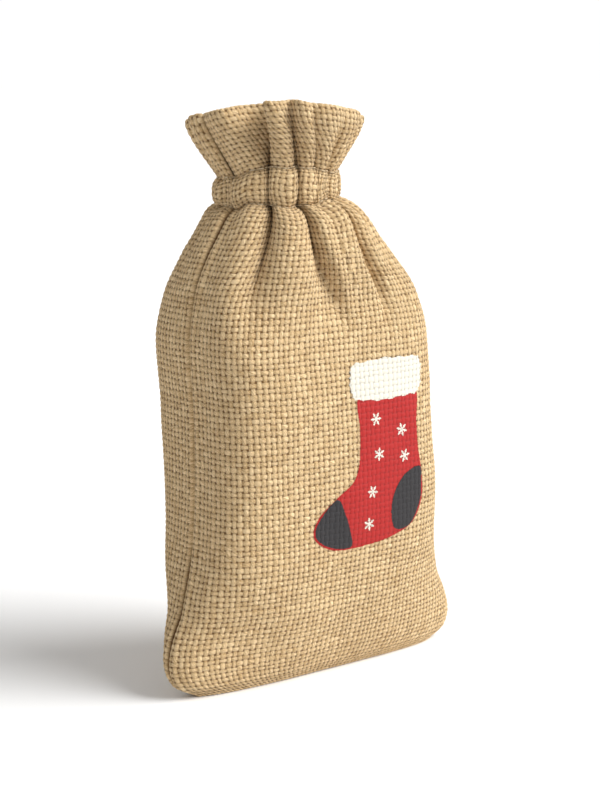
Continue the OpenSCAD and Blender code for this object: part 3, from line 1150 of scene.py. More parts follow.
def burlap_weave_group() -> bpy.types.NodeTree:
    """Make the plain weave of uneven, twisted yarn that the cloth and the print share.

    Returns:
        A group that turns thread numbers into height, a cover that falls to 0 down in the gaps between the
        yarns (where the finishes paint shade), tone, fibre and speckle.
    """
    flow = "NodeSocketFloat"
    group, pen = new_group(
        "burlap_weave",
        {"Threads": "NodeSocketVector"},
        {"Height": flow, "Cover": flow, "Tone": flow, "Fibre": flow, "Speckle": flow},
    )
    source = pen.add("NodeGroupInput").outputs[0]
    split = pen.add("ShaderNodeSeparateXYZ")
    pen.join(source, split.inputs[0])
    s, t = split.outputs[0], split.outputs[1]
    found = {}
    for own, other, shift, key in ((s, t, 0.0, "warp"), (t, s, 31.7, "weft")):
        number = pen.math("FLOOR", own)
        offset = pen.math("SUBTRACT", pen.math("SUBTRACT", own, number), 0.5)
        lane = pen.vector(pen.math("MULTIPLY_ADD", number, 3.71, shift), pen.math("MULTIPLY", other, 0.33))
        slub = pen.noise(lane, 1.0, 2.0, 0.6)
        wide = pen.math("MULTIPLY_ADD", slub, 0.42, 0.19)
        ratio = pen.math("DIVIDE", offset, wide)
        inside = pen.math("SUBTRACT", 1.0, pen.math("MULTIPLY", ratio, ratio))
        dome = pen.math("SQRT", pen.math("MAXIMUM", inside, 0.0))
        side = pen.math("MULTIPLY_ADD", pen.math("FLOORED_MODULO", number, 2.0), -2.0, 1.0)
        wave = pen.math("MULTIPLY", side, pen.math("SINE", pen.math("MULTIPLY", other, math.pi)))
        lift = pen.math("MULTIPLY_ADD", wave, 0.45 if key == "warp" else -0.45, 0.55)
        tone_of = pen.math("MULTIPLY_ADD", number, 7.13, shift + 5)
        tone_lane = pen.vector(tone_of, pen.math("MULTIPLY", other, 0.5))
        twist = pen.vector(pen.math("MULTIPLY_ADD", offset, 5.0, pen.math("MULTIPLY", other, 2.4)), number)
        found[key] = (
            pen.math("MULTIPLY", dome, lift),
            pen.noise(tone_lane, 1.0, 3.0, 0.65),
            pen.noise(twist, 2.2, 3.0, 0.6),
        )
    (warp, warp_tone, warp_fibre), (weft, weft_tone, weft_fibre) = found["warp"], found["weft"]
    height = pen.math("MAXIMUM", warp, weft)
    over = pen.math("GREATER_THAN", warp, weft)
    under = pen.math("SUBTRACT", 1.0, over)
    tone = pen.math("MULTIPLY_ADD", warp_tone, over, pen.math("MULTIPLY", weft_tone, under))
    fibre = pen.math("MULTIPLY_ADD", warp_fibre, over, pen.math("MULTIPLY", weft_fibre, under))
    result = pen.add("NodeGroupOutput")
    pen.join(height, result.inputs["Height"])
    # Cover is 0 down in the gaps between the yarns, where the finishes mix in painted shade
    pen.join(pen.span(height, 0.06, 0.62), result.inputs["Cover"])
    pen.join(tone, result.inputs["Tone"])
    pen.join(fibre, result.inputs["Fibre"])
    pen.join(pen.noise(source, 4.2, 5.0, 0.85), result.inputs["Speckle"])
    return group


@dataclass(frozen=True)
class Burlap:
    """Finish of the coarse cloth.

    Attributes:
        gap: Colour of the painted shade deep between the yarns and down in the side seams.
        shade: Colour of the darker yarns.
        pale: Colour of the lighter yarns, also painted on at the yarns' crowns as a highlight.
        straw: Colour of the stray straw-coloured fibres.
    """

    gap: tuple[float, float, float] = (0.200, 0.105, 0.040)
    shade: tuple[float, float, float] = (0.56, 0.36, 0.165)
    pale: tuple[float, float, float] = (0.96, 0.730, 0.430)
    straw: tuple[float, float, float] = (0.50, 0.315, 0.130)

    def material(self, name: str, weave: bpy.types.NodeTree) -> bpy.types.Material:
        """Make the burlap.

        Args:
            name: The material's name.
            weave: The shared weave group.

        Returns:
            The material.
        """
        made = bpy.data.materials.new(name)
        made.use_nodes = True
        pen = NodePen(made.node_tree)
        shader = made.node_tree.nodes["Principled BSDF"]
        where = pen.add("ShaderNodeUVMap", uv_map=THREADS_UV)
        cloth = pen.add("ShaderNodeGroup", node_tree=weave)
        pen.join(where.outputs[0], cloth.inputs[0])
        spread = pen.span(cloth.outputs["Tone"], 0.32, 0.68)
        yarn = pen.mix(spread, (*self.shade, 1), (*self.pale, 1))
        # Painted highlight: the highest parts of the yarns, their crowns, turn paler
        crown = pen.math("MULTIPLY", pen.span(cloth.outputs["Height"], 0.72, 0.98), 0.5)
        yarn = pen.mix(crown, yarn, (*self.pale, 1))
        stalk = pen.math("MULTIPLY", pen.span(cloth.outputs["Fibre"], 0.46, 0.60), 0.85)
        yarn = pen.mix(stalk, yarn, (*self.straw, 1))
        fleck = pen.math("MULTIPLY", pen.span(cloth.outputs["Speckle"], 0.49, 0.61), 0.85)
        light = pen.mix(fleck, yarn, (*self.pale, 1))
        # Painted shade: down between the yarns the colour sinks to the dark gap colour, where the weave's
        # hollows lie in shade
        colour = pen.mix(cloth.outputs["Cover"], (*self.gap, 1), light)
        # Painted shade: the colour darkens to the gap colour down in the side seams' grooves
        colour = pen.mix(self.seam_shade_mask(pen, where.outputs[0]), (*self.gap, 1), colour)
        pen.join(colour, shader.inputs["Base Color"])
        shader.inputs["Roughness"].default_value = 0.92
        shader.inputs["Specular IOR Level"].default_value = 0.18
        shader.inputs["Sheen Weight"].default_value = 0.12
        shader.inputs["Sheen Roughness"].default_value = 0.5
        fine = pen.math("MULTIPLY_ADD", cloth.outputs["Fibre"], 0.8, cloth.outputs["Height"])
        bump = pen.add("ShaderNodeBump")
        bump.inputs["Strength"].default_value = 0.9
        bump.inputs["Distance"].default_value = 0.6 * MM
        pen.join(fine, bump.inputs["Height"])
        pen.join(bump.outputs[0], shader.inputs["Normal"])
        return made

    def seam_shade_mask(self, pen: NodePen, threads: bpy.types.NodeSocket) -> bpy.types.NodeSocket:
        """Return a mask of painted shade: 0 down in the side seams, where the colour turns to the dark gap
        colour, and 1 away from them.
        """
        split = pen.add("ShaderNodeSeparateXYZ")
        pen.join(threads, split.inputs[0])
        half = Weave().threads_across / 2
        off = pen.math("ABSOLUTE", pen.math("SUBTRACT", split.outputs[0], half))
        return pen.span(pen.math("SUBTRACT", half, off), 0.05, 0.42)


@dataclass(frozen=True)
class Ink:
    """Finish of one printed area, laid over the weave.

    Attributes:
        colour: Colour of the ink.
        worn: Colour where the yarn shows through it.
        rough: Roughness of the ink.
    """

    colour: tuple[float, float, float]
    worn: tuple[float, float, float]
    rough: float = 0.6

    def material(self, name: str, weave: bpy.types.NodeTree) -> bpy.types.Material:
        """Make the ink.

        Args:
            name: The material's name.
            weave: The shared weave group.

        Returns:
            The material.
        """
        made = bpy.data.materials.new(name)
        made.use_nodes = True
        pen = NodePen(made.node_tree)
        shader = made.node_tree.nodes["Principled BSDF"]
        where = pen.add("ShaderNodeUVMap", uv_map=THREADS_UV)
        cloth = pen.add("ShaderNodeGroup", node_tree=weave)
        pen.join(where.outputs[0], cloth.inputs[0])
        # Painted shade: the ink is darker down in the weave's hollows between the yarns
        deep = tuple(0.72 * c for c in self.colour)
        ink_with_hollow_shade = pen.mix(cloth.outputs["Cover"], (*deep, 1), (*self.colour, 1))
        thin = pen.math("MULTIPLY", pen.span(cloth.outputs["Speckle"], 0.58, 0.80), 0.5)
        worn = pen.mix(thin, ink_with_hollow_shade, (*self.worn, 1))
        pen.join(worn, shader.inputs["Base Color"])
        shader.inputs["Roughness"].default_value = self.rough
        shader.inputs["Specular IOR Level"].default_value = 0.3
        bump = pen.add("ShaderNodeBump")
        bump.inputs["Strength"].default_value = 0.5
        bump.inputs["Distance"].default_value = 0.4 * MM
        pen.join(cloth.outputs["Height"], bump.inputs["Height"])
        pen.join(bump.outputs[0], shader.inputs["Normal"])
        return made


@dataclass(frozen=True)
class Yarn:
    """Finish of sewing thread and cord.

    Attributes:
        colour: Colour of the fibres.
        shade: Colour between the strands.
        scale: How fine the fibres are.
    """

    colour: tuple[float, float, float]
    shade: tuple[float, float, float]
    scale: float = 900.0

    def material(self, name: str) -> bpy.types.Material:
        """Make the yarn.

        Args:
            name: The material's name.

        Returns:
            The material.
        """
        made = bpy.data.materials.new(name)
        made.use_nodes = True
        pen = NodePen(made.node_tree)
        shader = made.node_tree.nodes["Principled BSDF"]
        place_of = pen.add("ShaderNodeTexCoord").outputs["Object"]
        fibre = pen.noise(place_of, self.scale, 4.0, 0.65)
        dyed = pen.mix(pen.span(fibre, 0.3, 0.65), (*self.shade, 1), (*self.colour, 1))
        pen.join(dyed, shader.inputs["Base Color"])
        shader.inputs["Roughness"].default_value = 0.85
        shader.inputs["Specular IOR Level"].default_value = 0.2
        bump = pen.add("ShaderNodeBump")
        bump.inputs["Strength"].default_value = 0.6
        bump.inputs["Distance"].default_value = 0.2 * MM
        pen.join(fibre, bump.inputs["Height"])
        pen.join(bump.outputs[0], shader.inputs["Normal"])
        return made


@dataclass
class Finishes:
    """All of the object's materials."""

    burlap: bpy.types.Material = field(init=False)
    thread: bpy.types.Material = field(init=False)
    cord: bpy.types.Material = field(init=False)
    red: bpy.types.Material = field(init=False)
    cream: bpy.types.Material = field(init=False)
    dark: bpy.types.Material = field(init=False)

    def __post_init__(self) -> None:
        """Make each material once."""
        weave = burlap_weave_group()
        self.burlap = Burlap().material("burlap", weave)
        self.thread = Yarn((0.70, 0.56, 0.37), (0.36, 0.25, 0.14), 1500.0).material("sewing_thread")
        self.cord = Yarn((0.74, 0.61, 0.42), (0.30, 0.20, 0.10), 1100.0).material("jute_cord")
        self.red = Ink((0.43, 0.018, 0.016), (0.52, 0.10, 0.06), 0.55).material("red_ink", weave)
        self.cream = Ink((0.78, 0.74, 0.64), (0.80, 0.72, 0.58), 0.7).material("cream_ink", weave)
        self.dark = Ink((0.030, 0.028, 0.030), (0.10, 0.075, 0.055), 0.5).material("dark_ink", weave)


# ---------------------------------------------------------------- sub-assemblies


@dataclass
class SackCloth:
    """The two panels of cloth, each with its channel and ruffle."""

    finishes: Finishes
    weave: Weave
    grids: dict[Half, ClothGrid] = field(default_factory=dict)
    halves: dict[Half, ClothHalf] = field(default_factory=dict)
    pieces: dict[str, bpy.types.Object] = field(default_factory=dict)

    def build(self) -> None:
        """Build both panels."""
        filled, neck = Filled.from_frame(), NeckShape.from_frame()
        for half in Half:
            cloth = ClothHalf(half, filled, neck, self.weave)
            grid = ClothBuilder(cloth).build()
            self.halves[half], self.grids[half] = cloth, grid
            word = half.name.lower()
            for part, node in (("body", "panel"), ("channel", "channel"), ("ruffle", "ruffle")):
                self.add_part(f"{word}_{node}", half, part)
            self.add_part(f"{word}_facing", half, "facing")
            self.add_part(f"{word}_channel_lining", half, "lining")

    def add_part(self, name: str, half: Half, part: str) -> None:
        """Args:
            name: The CAD node that the part stands for, or a new name for an inner layer.
            half: Which panel it is of.
            part: The part's name in the grid.
        """
        points, threads = self.grids[half].cut(part)
        title = f"{name}_cloth"
        piece = make_grid_piece(title, points, threads, flip=half is Half.BACK)
        nodes = [name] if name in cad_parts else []
        place(piece, self.finishes.burlap, "burlap", SACK, *nodes)
        self.pieces[name] = piece


@dataclass(frozen=True)
class Rope:
    """A round thread or cord that follows a path.

    Attributes:
        radius: Its radius in metres.
        sides: How many sides its section has.
    """

    radius: float
    sides: int = 6

    def add(self, bm: bmesh.types.BMesh, path: np.ndarray, closed: bool = False) -> None:
        """Sweep the section along a path.

        Args:
            bm: The mesh that gets the rope.
            path: Points along the middle, as rows.
            closed: True if the path ends where it starts.
        """
        rings = []
        count = len(path)
        side = None
        for k, point in enumerate(path):
            ahead = path[(k + 1) % count] if closed or k + 1 < count else point
            behind = path[k - 1] if closed or k else point
            tangent = Vector(ahead - behind).normalized()
            side = tangent.orthogonal() if side is None else side - tangent * side.dot(tangent)
            side.normalize()
            swell = 1.0 if closed or 0 < k < count - 1 else 0.55
            ring = bmesh.ops.create_circle(bm, segments=self.sides, radius=self.radius * swell)["verts"]
            other = tangent.cross(side)
            for vertex in ring:
                vertex.co = Vector(point) + side * vertex.co.x + other * vertex.co.y
            rings.append(ring)
        pairs = list(zip(rings, rings[1:])) + ([(rings[-1], rings[0])] if closed else [])
        for low, high in pairs:
            for k in range(self.sides):
                bm.faces.new((low[k], low[(k + 1) % self.sides], high[(k + 1) % self.sides], high[k]))
        if not closed:
            bm.faces.new(list(reversed(rings[0])))
            bm.faces.new(rings[-1])


def piece_from(name: str, bm: bmesh.types.BMesh) -> bpy.types.Object:
    """Turn a finished bmesh into a smooth piece and free it."""
    bmesh.ops.recalc_face_normals(bm, faces=bm.faces)
    mesh = bpy.data.meshes.new(name)
    bm.to_mesh(mesh)
    bm.free()
    mesh.polygons.foreach_set("use_smooth", np.ones(len(mesh.polygons), dtype=bool))
    piece = bpy.data.objects.new(name, mesh)
    bpy.context.collection.objects.link(piece)
    return piece


@dataclass
class Seam:
    """One seam inside the sack: its two-ply allowance, its stitches and its overlocked edge.

    Attributes:
        name: Which seam it is.
        edge: Points along the seam, as rows.
        inwards: Direction of the allowance at each point.
        across: Direction from the front ply to the back one at each point.
        allowance: How wide the allowance is.
        ply: How thick one ply is.
        stitch: How long one stitch is.
    """

    name: str
    edge: np.ndarray
    inwards: np.ndarray
    across: np.ndarray
    allowance: float
    ply: float = 0.9 * MM
    stitch: float = 2.6 * MM

    def build(self, finishes: Finishes) -> None:
        """Build the seam's pieces."""
        self.build_allowance(finishes)
        self.build_stitches(finishes)
        self.build_overlock(finishes)

    def along(self, step: float) -> tuple[np.ndarray, np.ndarray, np.ndarray]:
        """Return the edge and its two directions at even steps."""
        joined = np.concatenate([self.edge, self.inwards, self.across], axis=1)
        length = length_of(self.edge)
        points = spread_evenly(joined, max(8, round(length / step)))[0]
        return points[:, :3], points[:, 3:6], points[:, 6:]

    def build_allowance(self, finishes: Finishes) -> None:
        """Build the two plies of cloth beyond the seam."""
        edge, inwards, across = self.along(1.05 * MM)
        depth = np.array([0.9 * MM, 2.4 * MM, 3.8 * MM, self.allowance, self.allowance + 0.3 * MM])
        depth = np.concatenate([depth, depth[-2::-1]])
        gap = np.array([0.35, 1.0, 0.9, 0.95, 0.0, -0.95, -0.9, -1.0, -0.35]) * self.ply
        points = edge[:, None] + inwards[:, None] * depth[None, :, None]
        points = points + across[:, None] * gap[None, :, None]
        threads = np.stack(
            np.meshgrid(depth / (2.1 * MM) + 0.5 * (gap < 0), np.arange(len(edge)) * 0.5), axis=2
        )
        piece = make_grid_piece(f"{self.name}_seam_allowance_cloth", points, threads)
        place(piece, finishes.burlap, "burlap", SACK, f"{self.name}_seam_allowance")

    def build_stitches(self, finishes: Finishes) -> None:
        """Build the row of stitches that closes the seam, on both plies."""
        edge, inwards, across = self.along(self.stitch)
        bm = bmesh.new()
        rope = Rope(0.25 * MM)
        for side in (-1.15, 1.15):
            row = edge + inwards * 1.5 * MM + across * side * self.ply
            for start, end in zip(row, row[1:]):
                rise = (end - start) * np.array([[0.08], [0.25], [0.75], [0.92]])
                rope.add(bm, start + rise)
        piece = piece_from(f"{self.name}_seam_thread", bm)
        place(piece, finishes.thread, "sewing_thread", SACK, f"{self.name}_seam_stitches")

    def build_overlock(self, finishes: Finishes) -> None:
        """Build the thread that whips round the allowance's cut edge."""
        edge, inwards, across = self.along(0.55 * MM)
        turn = np.arange(len(edge)) * (math.pi / 2)
        reach = self.allowance - 0.6 * MM + 1.2 * MM * np.cos(turn)
        swing = 1.3 * self.ply * np.sin(turn)
        path = edge + inwards * reach[:, None] + across * swing[:, None]
        bm = bmesh.new()
        Rope(0.22 * MM, 5).add(bm, path)
        piece = piece_from(f"{self.name}_seam_overlock_thread", bm)
        place(piece, finishes.thread, "sewing_thread", SACK, f"{self.name}_seam_overlock")


@dataclass
class Seams:
    """The two side seams and the bottom one."""

    cloth: SackCloth
    finishes: Finishes
    allowance: float = 5.4 * MM

    def build(self) -> None:
        """Build the three seams along the finished cloth."""
        grid = self.cloth.grids[Half.FRONT]
        filled = self.cloth.halves[Half.FRONT].filled
        first, last = grid.parts["body"]
        rows = slice(first + 26, last - 3)
        for name, column in (("left", 0), ("right", -1)):
            edge = grid.woven[rows, column]
            middle = np.array([[filled.middle_x(z / filled.height), 0.0, z] for z in edge[:, 2]])
            self.make(name, edge, middle - edge)
        edge = grid.woven[first, 10:-10].copy()
        edge[:, 2] = 0.3 * MM
        self.make("bottom", edge, np.tile([0.0, 0.0, 1.0], (len(edge), 1)))

    def make(self, name: str, edge: np.ndarray, inwards: np.ndarray) -> None:
        """Build one seam.

        Args:
            name: Which seam it is.
            edge: Points along it.
            inwards: Directions into the sack, of any length.
        """
        run = np.gradient(edge, axis=0)
        run /= np.linalg.norm(run, axis=1, keepdims=True)
        inwards = inwards - run * (inwards * run).sum(axis=1, keepdims=True)
        inwards /= np.maximum(np.linalg.norm(inwards, axis=1, keepdims=True), 1e-9)
        Seam(name, edge, inwards, np.cross(run, inwards), self.allowance).build(self.finishes)


@dataclass
class ChannelStitching:
    """The two rows of stitches that make the drawstring's channel, and the tacks at its slit."""

    cloth: SackCloth
    finishes: Finishes
    stitch: float = 2.7 * MM
    thread_r: float = 0.26 * MM

    def build(self) -> None:
        """Build both rows and both bar tacks."""
        for name, part, end in (("lower", "channel", 0), ("upper", "channel", 1)):
            bm = bmesh.new()
            for grid in self.cloth.grids.values():
                self.add_row(bm, grid, grid.parts[part][end])
            piece = piece_from(f"channel_{name}_thread", bm)
            place(piece, self.finishes.thread, "sewing_thread", SACK, f"channel_{name}_stitches")
            self.build_tack(name, end)

    def add_row(self, bm: bmesh.types.BMesh, grid: ClothGrid, row: int) -> None:
        """Lay stitches along one row of the cloth."""
        line = grid.points[row] + grid.normals[row] * 0.35 * MM
        length = length_of(line)
        count = round(length / self.stitch)
        points = spread_evenly(line, count * 6 + 1)[0]
        rope = Rope(self.thread_r)
        for k in range(count):
            rope.add(bm, points[k * 6 : k * 6 + 6])

    def build_tack(self, name: str, end: int) -> None:
        """Build the close stitches that hold one end of the slit."""
        front, back = (self.cloth.grids[half] for half in Half)
        row = front.parts["channel"][end]
        middle = front.woven[row, -1]
        ahead = front.points[row, -5] - middle
        behind = back.points[row, -5] - middle
        bm = bmesh.new()
        rope = Rope(self.thread_r)
        neck_x = self.cloth.halves[Half.FRONT].filled.neck_x
        out = Vector(middle - np.array([neck_x, 0, middle[2]])).normalized()
        for k in range(7):
            rise = np.array([0, 0, (k - 3) * 0.42 * MM])
            steps = (0.8 * ahead, 0.4 * ahead, 0 * ahead, 0.4 * behind, 0.8 * behind)
            span = np.array([middle + step for step in steps])
            bend = np.array([0.2, 0.75, 0.9, 0.75, 0.2])[:, None] * np.array(out) * 0.9 * MM
            rope.add(bm, span + bend + rise)
        piece = piece_from(f"{name}_bar_tack_thread", bm)
        place(piece, self.finishes.thread, "sewing_thread", SACK, f"{name}_bar_tack")


@dataclass
class Drawstring:
    """Twisted cord in the channel, with its ends knotted in the slit."""

    finishes: Finishes
    strands: int = 3
    turns: int = 22

    def build(self) -> None:
        """Build the loop, the knot and its two short tails."""
        low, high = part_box("drawstring")
        cord_r = (high.z - low.z) / 2
        radius = (high.y - low.y) / 2
        cord_r = min(cord_r, 1.3 * MM)
        ring = radius - cord_r
        middle = Vector((low.x + radius, 0, (low.z + high.z) / 2))
        bm = bmesh.new()
        strand = Rope(cord_r * 0.52, 8)
        for k in range(self.strands):
            turn = np.linspace(0, 2 * math.pi, 264, endpoint=False)
            spin = turn * self.turns + k * 2 * math.pi / self.strands
            out = ring + cord_r * 0.47 * np.cos(spin)
            rise = cord_r * 0.47 * np.sin(spin)
            path = np.stack([middle.x + out * np.cos(turn), out * np.sin(turn), middle.z + rise], axis=1)
            strand.add(bm, path, closed=True)
        self.add_knot(bm, Vector((middle.x + ring + 2 * cord_r, 0, middle.z)), cord_r)
        piece = piece_from("drawstring_cord", bm)
        place(piece, self.finishes.cord, "cord", "drawstring", "drawstring")

    def add_knot(self, bm: bmesh.types.BMesh, at: Vector, cord_r: float) -> None:
        """Tie the two ends together just outside the loop.

        Args:
            bm: The mesh that gets the knot.
            at: Middle of the knot.
            cord_r: Radius of the cord.
        """
        turn = np.linspace(0, 2 * math.pi, 90, endpoint=False)
        size = 0.42 * cord_r
        x = size * (np.sin(turn) + 2 * np.sin(2 * turn)) * 0.62
        y = size * (np.cos(turn) - 2 * np.cos(2 * turn)) * 0.62
        z = -size * np.sin(3 * turn) * 0.75
        path = np.stack([at.x + z, at.y + x, at.z + y], axis=1)
        Rope(0.55 * cord_r, 10).add(bm, path, closed=True)
        for side in (-1, 1):
            u = np.linspace(0, 1, 8)
            away = np.stack([0.3 + 1.3 * u, side * 0.5 * u, 0.3 * u**2], axis=1)
            Rope(0.42 * cord_r, 8).add(bm, np.array(at) + cord_r * away)


# ---------------------------------------------------------------- the print


@dataclass(frozen=True)
class Outline:
    """A closed, smooth outline in the print's own plane, in millimetres."""

    points: tuple[tuple[float, float], ...]
    scallop: float = 0.0
    waves: int = 0

    def line(self, steps: int = 14) -> np.ndarray:
        """Return the outline as a dense closed line."""
        p = np.array(self.points, dtype=float)
        u = np.linspace(0, 1, steps, endpoint=False)[:, None]
        made = []
        for k in range(len(p)):
            a, b, c, d = p[k - 1], p[k], p[(k + 1) % len(p)], p[(k + 2) % len(p)]
            made.append(spline(a, b, c, d, u))
        line = np.concatenate(made)
        if not self.waves:
            return line
        run = np.linspace(0, 2 * math.pi * self.waves, len(line), endpoint=False)
        tangent = np.roll(line, -1, axis=0) - np.roll(line, 1, axis=0)
        normal = np.stack([tangent[:, 1], -tangent[:, 0]], axis=1)
        normal /= np.linalg.norm(normal, axis=1, keepdims=True)
        wave = np.abs(np.sin(run / 2)) + 0.3 * np.sin(run * 0.37)
        return line + normal * (self.scallop * wave)[:, None]

    def distance(self, spots: np.ndarray) -> np.ndarray:
        """Return how far each spot is outside the outline; inside is negative."""
        line = self.line()
        ends = np.roll(line, -1, axis=0)
        far = np.full(len(spots), np.inf)
        inside = np.zeros(len(spots), dtype=bool)
        for a, b in zip(line, ends):
            edge, rel = b - a, spots - a
            u = np.clip(rel @ edge / max(edge @ edge, 1e-12), 0, 1)
            far = np.minimum(far, np.linalg.norm(rel - u[:, None] * edge, axis=1))
            crossing = (a[1] > spots[:, 1]) != (b[1] > spots[:, 1])
            at = a[0] + (spots[:, 1] - a[1]) * (b[0] - a[0]) / ((b[1] - a[1]) or 1e-12)
            inside ^= crossing & (spots[:, 0] < at)
        return np.where(inside, -far, far)


@dataclass(frozen=True)
class Flakes:
    """Six-armed snowflakes in the print's own plane, in millimetres."""

    centres: tuple[tuple[float, float], ...]
    reach: float = 2.0
    thick: float = 0.27

    def distance(self, spots: np.ndarray) -> np.ndarray:
        """Return how far each spot is outside the flakes; inside is negative."""
        far = np.full(len(spots), np.inf)
        for k, (x, y) in enumerate(self.centres):
            rel = spots - (x, y)
            radius = np.hypot(rel[:, 0], rel[:, 1])
            turn = np.arctan2(rel[:, 1], rel[:, 0]) + 0.3 * k
            turn = (turn + math.pi / 6) % (math.pi / 3) - math.pi / 6
            u, v = radius * np.cos(turn), np.abs(radius * np.sin(turn))
            arm = np.hypot(u - np.clip(u, 0, self.reach), v) - self.thick
            along = np.clip((u - 0.6 * self.reach) * 0.5 + v * 0.866, 0, 0.22 * self.reach)
            barb = np.hypot(u - 0.6 * self.reach - along * 0.5, v - along * 0.866) - 0.6 * self.thick
            far = np.minimum(far, np.minimum(arm, barb))
        return far


@dataclass
class StockingPrint:
    """A Christmas stocking in flat inks, pressed on the front panel.

    The constants are how far the print's plane starts below the toe, how far the cuff's middle
    lies from the plane's left side, and the share of the neck's lean that the print follows
    evenly, with the power of the height share at which it follows the rest.

    Attributes:
        cloth: The cloth that it is pressed on.
        finishes: The finishes of all pieces.
        cuff: Outline of the cuff, in millimetres in the print's plane.
        stocking: Outline of the leg and foot.
        heel: Outline of the heel's patch.
        toe: Outline of the toe's patch.
        flakes: The snowflakes.
    """

    MARGIN_Z = 0.8 * MM
    CUFF_X = 32.9 * MM
    LEAN = 0.75
    LEAN_LATE = 6

    cloth: SackCloth
    finishes: Finishes
    cuff: Outline = Outline(
        ((20, 62.6), (33, 63.2), (45.6, 62.6), (48.8, 60), (49, 56), (48.2, 51.6), (45, 49.4), (33, 48.9),
         (20.5, 49.6), (17.2, 52), (16.6, 57), (17.4, 61)), 0.55, 26,
    )  # fmt: skip
    stocking: Outline = Outline(
        ((20.4, 51), (33, 51), (45.6, 51), (45.5, 40), (46.2, 31), (47.8, 22), (47.8, 12.5), (43.2, 5),
         (33, 1.4), (21, 0.2), (10, 0.5), (3.4, 3.2), (0.3, 7.2), (2.6, 12.8), (10, 18.6), (16.4, 22.8),
         (19, 27.5), (19.8, 33), (20, 41)),
    )  # fmt: skip
    heel: Outline = Outline(((47.0, 24.2), (40, 22.6), (35.2, 17.2), (33.4, 10.8), (34.6, 4.8), (38.6, 3.5),
                             (43.2, 5.4), (47.0, 12.0), (47.4, 17.5)))  # fmt: skip
    toe: Outline = Outline(((9.8, 18.0), (13.2, 12.6), (15.4, 6.4), (16.2, 1.0), (10, 1.1), (3.9, 3.7),
                            (1.0, 7.4), (3.1, 12.3)))  # fmt: skip
    flakes: Flakes = Flakes(((27, 43), (38.5, 38), (28, 31), (39.5, 29), (25, 18.5), (23.5, 7.5)))

    def build(self) -> None:
        """Press each ink on the cloth, one over the other."""
        inks = self.finishes
        self.press("print_stocking", self.stocking, inks.red, "red_ink", 0.05)
        self.press("print_cuff", self.cuff, inks.cream, "cream_ink", 0.12)
        self.press("print_heel", self.heel, inks.dark, "dark_ink", 0.12)
        self.press("print_toe", self.toe, inks.dark, "dark_ink", 0.12)
        self.press("print_snowflakes", self.flakes, inks.cream, "cream_ink", 0.12)

    def press(
        self, node: str, shape: Outline | Flakes, ink: bpy.types.Material, slot: str, lift: float
    ) -> None:
        """Press one ink on the front panel's cloth.

        Args:
            node: The CAD node that it stands for.
            shape: Where the ink is.
            ink: The ink's finish.
            slot: The record's material slot.
            lift: Height of the ink over the yarns, in millimetres.
        """
        low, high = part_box(node)
        grid = self.cloth.grids[Half.FRONT]
        filled = self.cloth.halves[Half.FRONT].filled
        first, last = grid.parts["body"]
        area = grid.points[first:last]
        near = (area[..., 0] > low.x - 3 * MM) & (area[..., 0] < high.x + 3 * MM)
        near &= (area[..., 2] > low.z - 3 * MM) & (area[..., 2] < high.z + 3 * MM) & (area[..., 1] < 0)
        rows, columns = np.where(near.any(axis=1))[0], np.where(near.any(axis=0))[0]
        window = (slice(rows[0], rows[-1] + 1), slice(columns[0], columns[-1] + 1))
        smooth, woven = area[window], grid.woven[first:last][window]
        normals = grid.normals[first:last][window]
        relief = ((woven - smooth) * normals).sum(axis=2)
        top = np.maximum(relief, 0.14 * MM)
        points = smooth + normals * (top + lift * MM)[..., None]
        piece = make_grid_piece(f"{node}_ink", points, grid.threads[first:last][window])
        bm = bmesh.new()
        bm.from_mesh(piece.data)
        fine = 2 if isinstance(shape, Flakes) else 1
        for _ in range(fine):
            spots = self.spots(bm.verts, filled)
            far = shape.distance(spots)
            inner = {v for v, d in zip(bm.verts, far) if d < 1.2}
            edges = [e for e in bm.edges if e.verts[0] in inner or e.verts[1] in inner]
            bmesh.ops.subdivide_edges(bm, edges=edges, cuts=1, use_grid_fill=True)
        far = dict(zip(bm.verts, shape.distance(self.spots(bm.verts, filled))))
        cut = {}
        for edge in bm.edges:
            a, b = far[edge.verts[0]], far[edge.verts[1]]
            if (a < 0) != (b < 0):
                cut[edge] = min(max(a / (a - b), 0.02), 0.98)
        old = set(bm.verts)
        bmesh.ops.bisect_edges(bm, edges=list(cut), cuts=1, edge_percents=cut)
        fresh = [v for v in bm.verts if v not in old]
        bmesh.ops.connect_verts(bm, verts=fresh)
        centres = np.array([f.calc_center_median()[:] for f in bm.faces])
        outside = shape.distance(self.plane(centres, filled)) > 0
        bmesh.ops.delete(bm, geom=[f for f, out in zip(bm.faces, outside) if out], context="FACES")
        bm.to_mesh(piece.data)
        bm.free()
        place(piece, ink, slot, SACK, node)

    def spots(self, vertices: object, filled: Filled) -> np.ndarray:
        """Return the places of vertices in the print's plane, in millimetres."""
        return self.plane(np.array([v.co[:] for v in vertices]), filled)

    def plane(self, points: np.ndarray, filled: Filled) -> np.ndarray:
        """Return the places of points in the print's plane, in millimetres from its lower left corner."""
        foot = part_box("print_toe")[0]
        low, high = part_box("print_cuff")
        corner_z = foot.z - self.MARGIN_Z
        cuff = self.lean_at((low.z + high.z) / 2 / filled.height, filled)
        corner_x = (low.x + high.x) / 2 - cuff - self.CUFF_X
        across = points[:, 0] - self.lean_at(points[:, 2] / filled.height, filled) - corner_x
        return np.stack([across / MM, (points[:, 2] - corner_z) / MM], axis=1)

    def lean_at(self, share: float | np.ndarray, filled: Filled) -> float | np.ndarray:
        """Return how far the print leans to one side at a height share."""
        return filled.neck_x * (self.LEAN * share + (1 - self.LEAN) * share**self.LEAN_LATE)


# ---------------------------------------------------------------- studio


